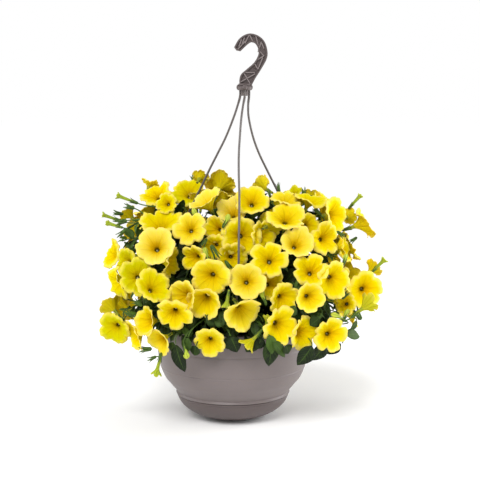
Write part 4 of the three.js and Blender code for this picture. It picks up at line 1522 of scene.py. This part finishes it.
def leaf_matrix(base, along, upward, size, width=1.0):
    """The matrix that lays a leaf pattern at a place, along a way, with its upper side facing another."""
    along = along.normalized()
    across = along.cross(upward).normalized()
    face = across.cross(along)
    turn = Matrix((across * width, along, face)).transposed().to_4x4()
    return Matrix.Translation(base) @ turn @ Matrix.Scale(size, 4)


def leaf_points(matrix):
    """Points on a leaf that is laid by a matrix, to test whether it is clear."""
    return [matrix @ Vector((across, along, 0)) for across, along in LEAF_TESTS]


def leaf_way(matrix):
    return matrix.col[1].to_3d().normalized()


def shoot_leaves(route, settings, patterns, thicket, chance):
    """Leaves up one stem, smaller and younger to its tip, clear of the flowers."""
    leaves = []
    length = sum((b - a).length for a, b in zip(route, route[1:]))
    count = int(length * (1 - BARE_SHARE) / settings.leaf_gap)
    turn = chance.uniform(0, FULL_TURN)
    for i in range(count):
        up = BARE_SHARE + (1 - BARE_SHARE) * (i + 0.5) / count
        at = up * (len(route) - 1)
        low = min(int(at), len(route) - 2)
        base = route[low].lerp(route[low + 1], at - low)
        tangent = (route[low + 1] - route[low]).normalized()
        turn += LEAF_TURN
        side = tangent.orthogonal().normalized()
        side.rotate(Matrix.Rotation(turn, 3, tangent))
        away = Vector((base.x, base.y, 0)).normalized()
        along = (tangent * 0.45 + side + away * 0.35 + UP * chance.uniform(-0.35, 0.25)).normalized()
        light = (away * 0.8 + UP * 0.9 + side * 0.3).normalized()
        young = max(0, (up - YOUNG_FROM) / (1 - YOUNG_FROM))
        size = settings.leaf_length * (1.1 - 0.62 * young) * chance.uniform(0.8, 1.15)
        matrix = leaf_matrix(base, along, light, size, chance.uniform(0.85, 1.1))
        if thicket.clear(leaf_points(matrix)):
            leaf = copy_of(chance.choice(patterns), matrix)
            leaves.append(give_tone(leaf, min(1, 0.05 + 0.7 * young**1.5 + chance.uniform(0, 0.22))))
    return leaves


def near_spots(routes, first, place):
    """Where the stems pass, from a step of each on, the nearest to a place first."""
    spots = (spot for route in routes for spot in route[first:])
    return sorted(spots, key=lambda spot: (spot - place).length)


def thread(route, radius):
    """A list of one route with one radius."""
    return [[(place, radius) for place in route]]


def stalk(foot, axis, routes, radius, thicket, own=None):
    """Routes of a thin stalk that reaches a foot along an axis, from a near stem, clear of the flowers.

    Where none finds room it is a short stub, and where that hasn't room either there are no routes.
    """
    start = foot - axis * 0.002
    inside = start - axis * 0.02 - outward(azimuth_of(foot)) * 0.012
    spots = near_spots(routes, 6, inside)
    for straight in STALK_ENDS:
        for spot in spots[:90:3]:
            route = bezier(start, start - axis * straight, spot.lerp(start, 0.25), spot, STALK_STEPS)
            if thicket.clear(route[:-1], own, STALK_REACH):
                return thread(route, radius)
    inwards = (-axis - outward(azimuth_of(foot)) - UP * 0.4).normalized()
    for way in (-axis, (inwards - axis).normalized(), inwards):
        route = [start + way * STUB_STEP * i for i in range(4)]
        if thicket.clear(route[1:], own, STALK_REACH):
            return thread(route, radius)
    return []


def leaf_stalk(root, way, routes, radius, thicket):
    """Routes of the stalk of a hanging leaf: a clear one, or else the one that comes nearest to that."""
    found = stalk(root, way, routes, radius, thicket)
    if found or not routes:
        return found
    start = root - way * 0.008
    spots = near_spots(routes, 4, root)[:40:2]
    ways = [bezier(root, start, spot.lerp(root, 0.3), spot, STALK_STEPS) for spot in spots]

    def crossings(route):
        return sum(not thicket.clear([place], reach=0.03) for place in route[:-1])

    return thread(min(ways, key=crossings), radius)


def hanging_leaf(row):
    """The root, the matrix and the age of a leaf that hangs where the photograph shows it."""
    root_column, root_line, tip_column, tip_line, width, step, age = row
    root = seen_on_mound(root_column, root_line, step)
    along = (seen_beside(root, tip_column, tip_line, step) - root) * MM
    root *= MM
    light = outward(azimuth_of(root)) * 0.9 + UP * 0.4
    narrow = width * MM / (LEAF_WIDTH * along.length)
    return root, leaf_matrix(root, along, light, along.length, narrow), age


def rim_leaves(low, high, count, chance):
    """Leaves that hang over the rim between two azimuths, as root and matrix."""
    leaves = []
    for i in range(count):
        azimuth = low + (high - low) * (i + chance.uniform(0.2, 0.8)) / count
        tier = i % RIM_LEAF["tiers"]
        height = RIM_LEAF["height"] + RIM_LEAF["height_step"] * tier + chance.uniform(-4, 4)
        root = along_azimuth(azimuth, RIM_LEAF["ring"] + RIM_LEAF["ring_step"] * tier, height)
        ahead = outward(azimuth + chance.uniform(-28, 28))
        in_front = math.cos(math.radians(azimuth)) > 0.3
        size = chance.uniform(*RIM_LEAF["front" if in_front else "elsewhere"])
        along = ahead * chance.uniform(0.35, 0.65) - UP * 0.85
        leaves.append((root, leaf_matrix(root, along, ahead * 0.85 + UP * 0.5, size, 1.1)))
    return leaves


def all_tufts(blooms):
    """Every calyx and tuft: its foot, the way it points, its size and its flower's number."""
    tufts = [
        (bloom.place - bloom.axis * bloom.diameter * bloom.length, bloom.axis,
         min(bloom.diameter * bloom.length / TRUMPET["length"], CALYX["most"]), i)
        for i, bloom in enumerate(blooms)]
    tufts += [(bud.base, (bud.tip - bud.base).normalized(), CALYX["bud"], None) for bud in all_buds()]
    for root_column, root_line, tip_column, tip_line, step in TUFTS:
        root = seen_on_mound(root_column, root_line, step)
        along = seen_beside(root, tip_column, tip_line, step) - root
        tufts.append((root * MM, along.normalized(), along.length * MM / CALYX["tuft"], None))
    return tufts


def shoots(settings, flower_settings):
    """Twelve shoots: stems, leaves, the stalks of their flowers and buds and the calyx of each."""
    chance = random.Random(settings.seed)
    blooms = all_blooms(flower_settings)
    thicket = Thicket(blooms)
    leaf_look = leaf_finish(settings)
    stem_look = stem_finish(settings)
    patterns = [
        leaf_pattern("leaf_flat", 0.25, 0.10, 0.010, LEAF_WIDTH),
        leaf_pattern("leaf_drooping", 0.15, 0.28, 0.014, LEAF_WIDTH * 1.05),
        leaf_pattern("leaf_folded", 0.55, 0.16, 0.012, LEAF_WIDTH),
        leaf_pattern("leaf_raised", 0.30, -0.10, 0.016, LEAF_WIDTH * 0.9),
    ]
    for pattern in patterns:
        made_of(pattern, leaf_look)
    sepals = sepals_pattern(stem_look)
    tufts = all_tufts(blooms)
    hanging = [hanging_leaf(row) for row in HANGING_LEAVES]
    names = sorted(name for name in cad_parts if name.startswith("shoot_"))
    sector = 360 / len(names)
    for i, name in enumerate(names):
        parts = []
        routes = []
        for j in range(settings.stems):
            azimuth = sector * (i + chance.uniform(0.05, 0.95))
            route = clear_stem(azimuth, STEM_HEIGHTS[j % len(STEM_HEIGHTS)], thicket, chance)
            if len(route) > 3:
                routes.append(route)
                parts += shoot_leaves(route, settings, patterns, thicket, chance)
        tapered = [
            [(place, settings.stem_radius * (1 - 0.55 * k / len(route))) for k, place in enumerate(route)]
            for route in routes]
        for foot, axis, size, own in tufts:
            if int(azimuth_of(foot) // sector) == i:
                parts.append(copy_of(sepals, pointing(foot, axis, chance.uniform(0, 6), size)))
                tapered += stalk(foot, axis, routes, FLOWER_STALK, thicket, own)
        for root, matrix, age in hanging:
            if int(azimuth_of(root) // sector) == i:
                parts.append(give_tone(copy_of(patterns[1], matrix), age))
                tapered += leaf_stalk(root, leaf_way(matrix), routes, LEAF_STALK, thicket)
        for root, matrix in rim_leaves(sector * i, sector * (i + 1), settings.rim_leaves, chance):
            if thicket.clear(leaf_points(matrix)):
                parts.append(give_tone(copy_of(chance.choice(patterns), matrix), chance.uniform(0, 0.25)))
                tapered += stalk(root, leaf_way(matrix), routes, LEAF_STALK, thicket)
        stems = made_of(tubes("stems", tapered, 1), stem_look)
        piece = joined(name.replace("shoot", "plant"), [stems, *parts])
        install(smooth(piece), "foliage", name)
    drop(*patterns, sepals)


# ---------- stage ----------
def lay_floor(settings):
    deselect()
    bpy.ops.mesh.primitive_plane_add(size=settings.floor_size)
    floor = named(bpy.context.object, "floor")
    finish = Finish("floor", Roughness=0.9, Specular_IOR_Level=0.1)
    finish.set("Base Color", settings.floor_colour)
    made_of(floor, finish.material)


def surround(settings):
    """White surroundings that light the basket less than the camera sees them."""
    world = bpy.context.scene.world or bpy.data.worlds.new("surroundings")
    bpy.context.scene.world = world
    world.use_nodes = True
    tree = world.node_tree
    background = tree.nodes["Background"]
    background.inputs["Color"].default_value = (1, 1, 1, 1)
    path = tree.nodes.new("ShaderNodeLightPath")
    strength = tree.nodes.new("ShaderNodeMapRange")
    strength.inputs["To Min"].default_value = settings.sky
    tree.links.new(path.outputs["Is Camera Ray"], strength.inputs["Value"])
    tree.links.new(strength.outputs["Result"], background.inputs["Strength"])


def set_lights(settings):
    """A wide soft sun from the front, and a light at either side, a little behind."""
    aim = Vector(LIGHT_AIM)
    sunwards = outward(SUN["azimuth"]) * SUN["out"] + UP * SUN["up"]
    for name, kind, place, energy in (
            ("main", "SUN", sunwards, settings.sun),
            ("left", "AREA", Vector((-SIDE_LIGHT[0], *SIDE_LIGHT[1:])), settings.left),
            ("right", "AREA", Vector(SIDE_LIGHT), settings.right)):
        light = bpy.data.lights.new(name, kind)
        light.energy = energy
        if kind == "SUN":
            light.angle = SUN["angle"]
        else:
            light.size = 1
        lamp = bpy.data.objects.new(name, light)
        lamp.location = place
        lamp.rotation_euler = (aim - place).to_track_quat("-Z", "Y").to_euler()
        bpy.context.scene.collection.objects.link(lamp)


def set_camera():
    """The camera that took the photograph, as it was fitted."""
    eye, ahead, _ = view_axes()
    camera = bpy.data.cameras.new("camera")
    camera.sensor_width = SENSOR
    camera.lens = SENSOR * VIEW["focal"] / VIEW["size"]
    viewer = bpy.data.objects.new("camera", camera)
    viewer.location = eye * MM
    viewer.rotation_euler = ahead.to_track_quat("-Z", "Y").to_euler()
    bpy.context.scene.collection.objects.link(viewer)
    bpy.context.scene.camera = viewer
    bpy.context.scene.view_settings.view_transform = "Standard"


# ---------- operators ----------
class BuildStep:
    """What every operator does: it runs its step of the build with the basket's settings."""

    def execute(self, context):
        self.build(context.scene.basket)
        return {"FINISHED"}


class BASKET_OT_stage(BuildStep, Operator):
    """Set up the floor, the light and the camera"""

    bl_idname = "basket.stage"
    bl_label = "Stage"

    def build(self, basket):
        lay_floor(basket.stage)
        surround(basket.stage)
        set_lights(basket.stage)
        set_camera()


class BASKET_OT_pot(BuildStep, Operator):
    """Turn the saucer and the bowl"""

    bl_idname = "basket.pot"
    bl_label = "Pot and saucer"

    def build(self, basket):
        drip_saucer(basket.pot)
        pot_bowl(basket.pot)


class BASKET_OT_soil(BuildStep, Operator):
    """Fill the bowl with potting soil"""

    bl_idname = "basket.soil"
    bl_label = "Potting soil"

    def build(self, basket):
        potting_soil(basket.pot)


class BASKET_OT_hook(BuildStep, Operator):
    """Mould the hook with its collar"""

    bl_idname = "basket.hook"
    bl_label = "Hook"

    def build(self, basket):
        hanger_hook(basket.hanger)


class BASKET_OT_strands(BuildStep, Operator):
    """Draw the three strands"""

    bl_idname = "basket.strands"
    bl_label = "Strands"

    def build(self, basket):
        strands(basket.hanger)


class BASKET_OT_flowers(BuildStep, Operator):
    """Shape the open flowers"""

    bl_idname = "basket.flowers"
    bl_label = "Flowers"

    def build(self, basket):
        flowers(basket.flower)


class BASKET_OT_buds(BuildStep, Operator):
    """Shape the furled buds"""

    bl_idname = "basket.buds"
    bl_label = "Buds"

    def build(self, basket):
        buds(basket.shoot, basket.flower)


class BASKET_OT_shoots(BuildStep, Operator):
    """Grow the stems, leaves and flower stalks"""

    bl_idname = "basket.shoots"
    bl_label = "Shoots"

    def build(self, basket):
        shoots(basket.shoot, basket.flower)


OPERATORS = (
    BASKET_OT_stage, BASKET_OT_pot, BASKET_OT_soil, BASKET_OT_hook, BASKET_OT_strands, BASKET_OT_flowers,
    BASKET_OT_buds, BASKET_OT_shoots,
)


class BASKET_PT_panel(Panel):
    """Buttons and settings of the basket"""

    bl_idname = "BASKET_PT_panel"
    bl_label = "Petunia basket"
    bl_space_type = "VIEW_3D"
    bl_region_type = "UI"
    bl_category = "Basket"

    def draw(self, context):
        for operator in OPERATORS:
            self.layout.operator(operator.bl_idname)
        for part in ("pot", "hanger", "flower", "shoot", "stage"):
            box = self.layout.box()
            settings = getattr(context.scene.basket, part)
            for name in settings.__annotations__:
                box.prop(settings, name)


CLASSES = (
    PotSettings, HangerSettings, FlowerSettings, ShootSettings, StageSettings, BasketSettings, *OPERATORS,
    BASKET_PT_panel,
)


def register():
    for kind in CLASSES:
        bpy.utils.register_class(kind)
    bpy.types.Scene.basket = PointerProperty(type=BasketSettings)


def unregister():
    del bpy.types.Scene.basket
    for kind in reversed(CLASSES):
        bpy.utils.unregister_class(kind)


def main():
    register()
    bpy.ops.basket.stage()
    bpy.ops.basket.pot()
    bpy.ops.basket.soil()
    bpy.ops.basket.hook()
    bpy.ops.basket.strands()
    bpy.ops.basket.flowers()
    bpy.ops.basket.buds()
    bpy.ops.basket.shoots()


if __name__ == "__main__":
    main()
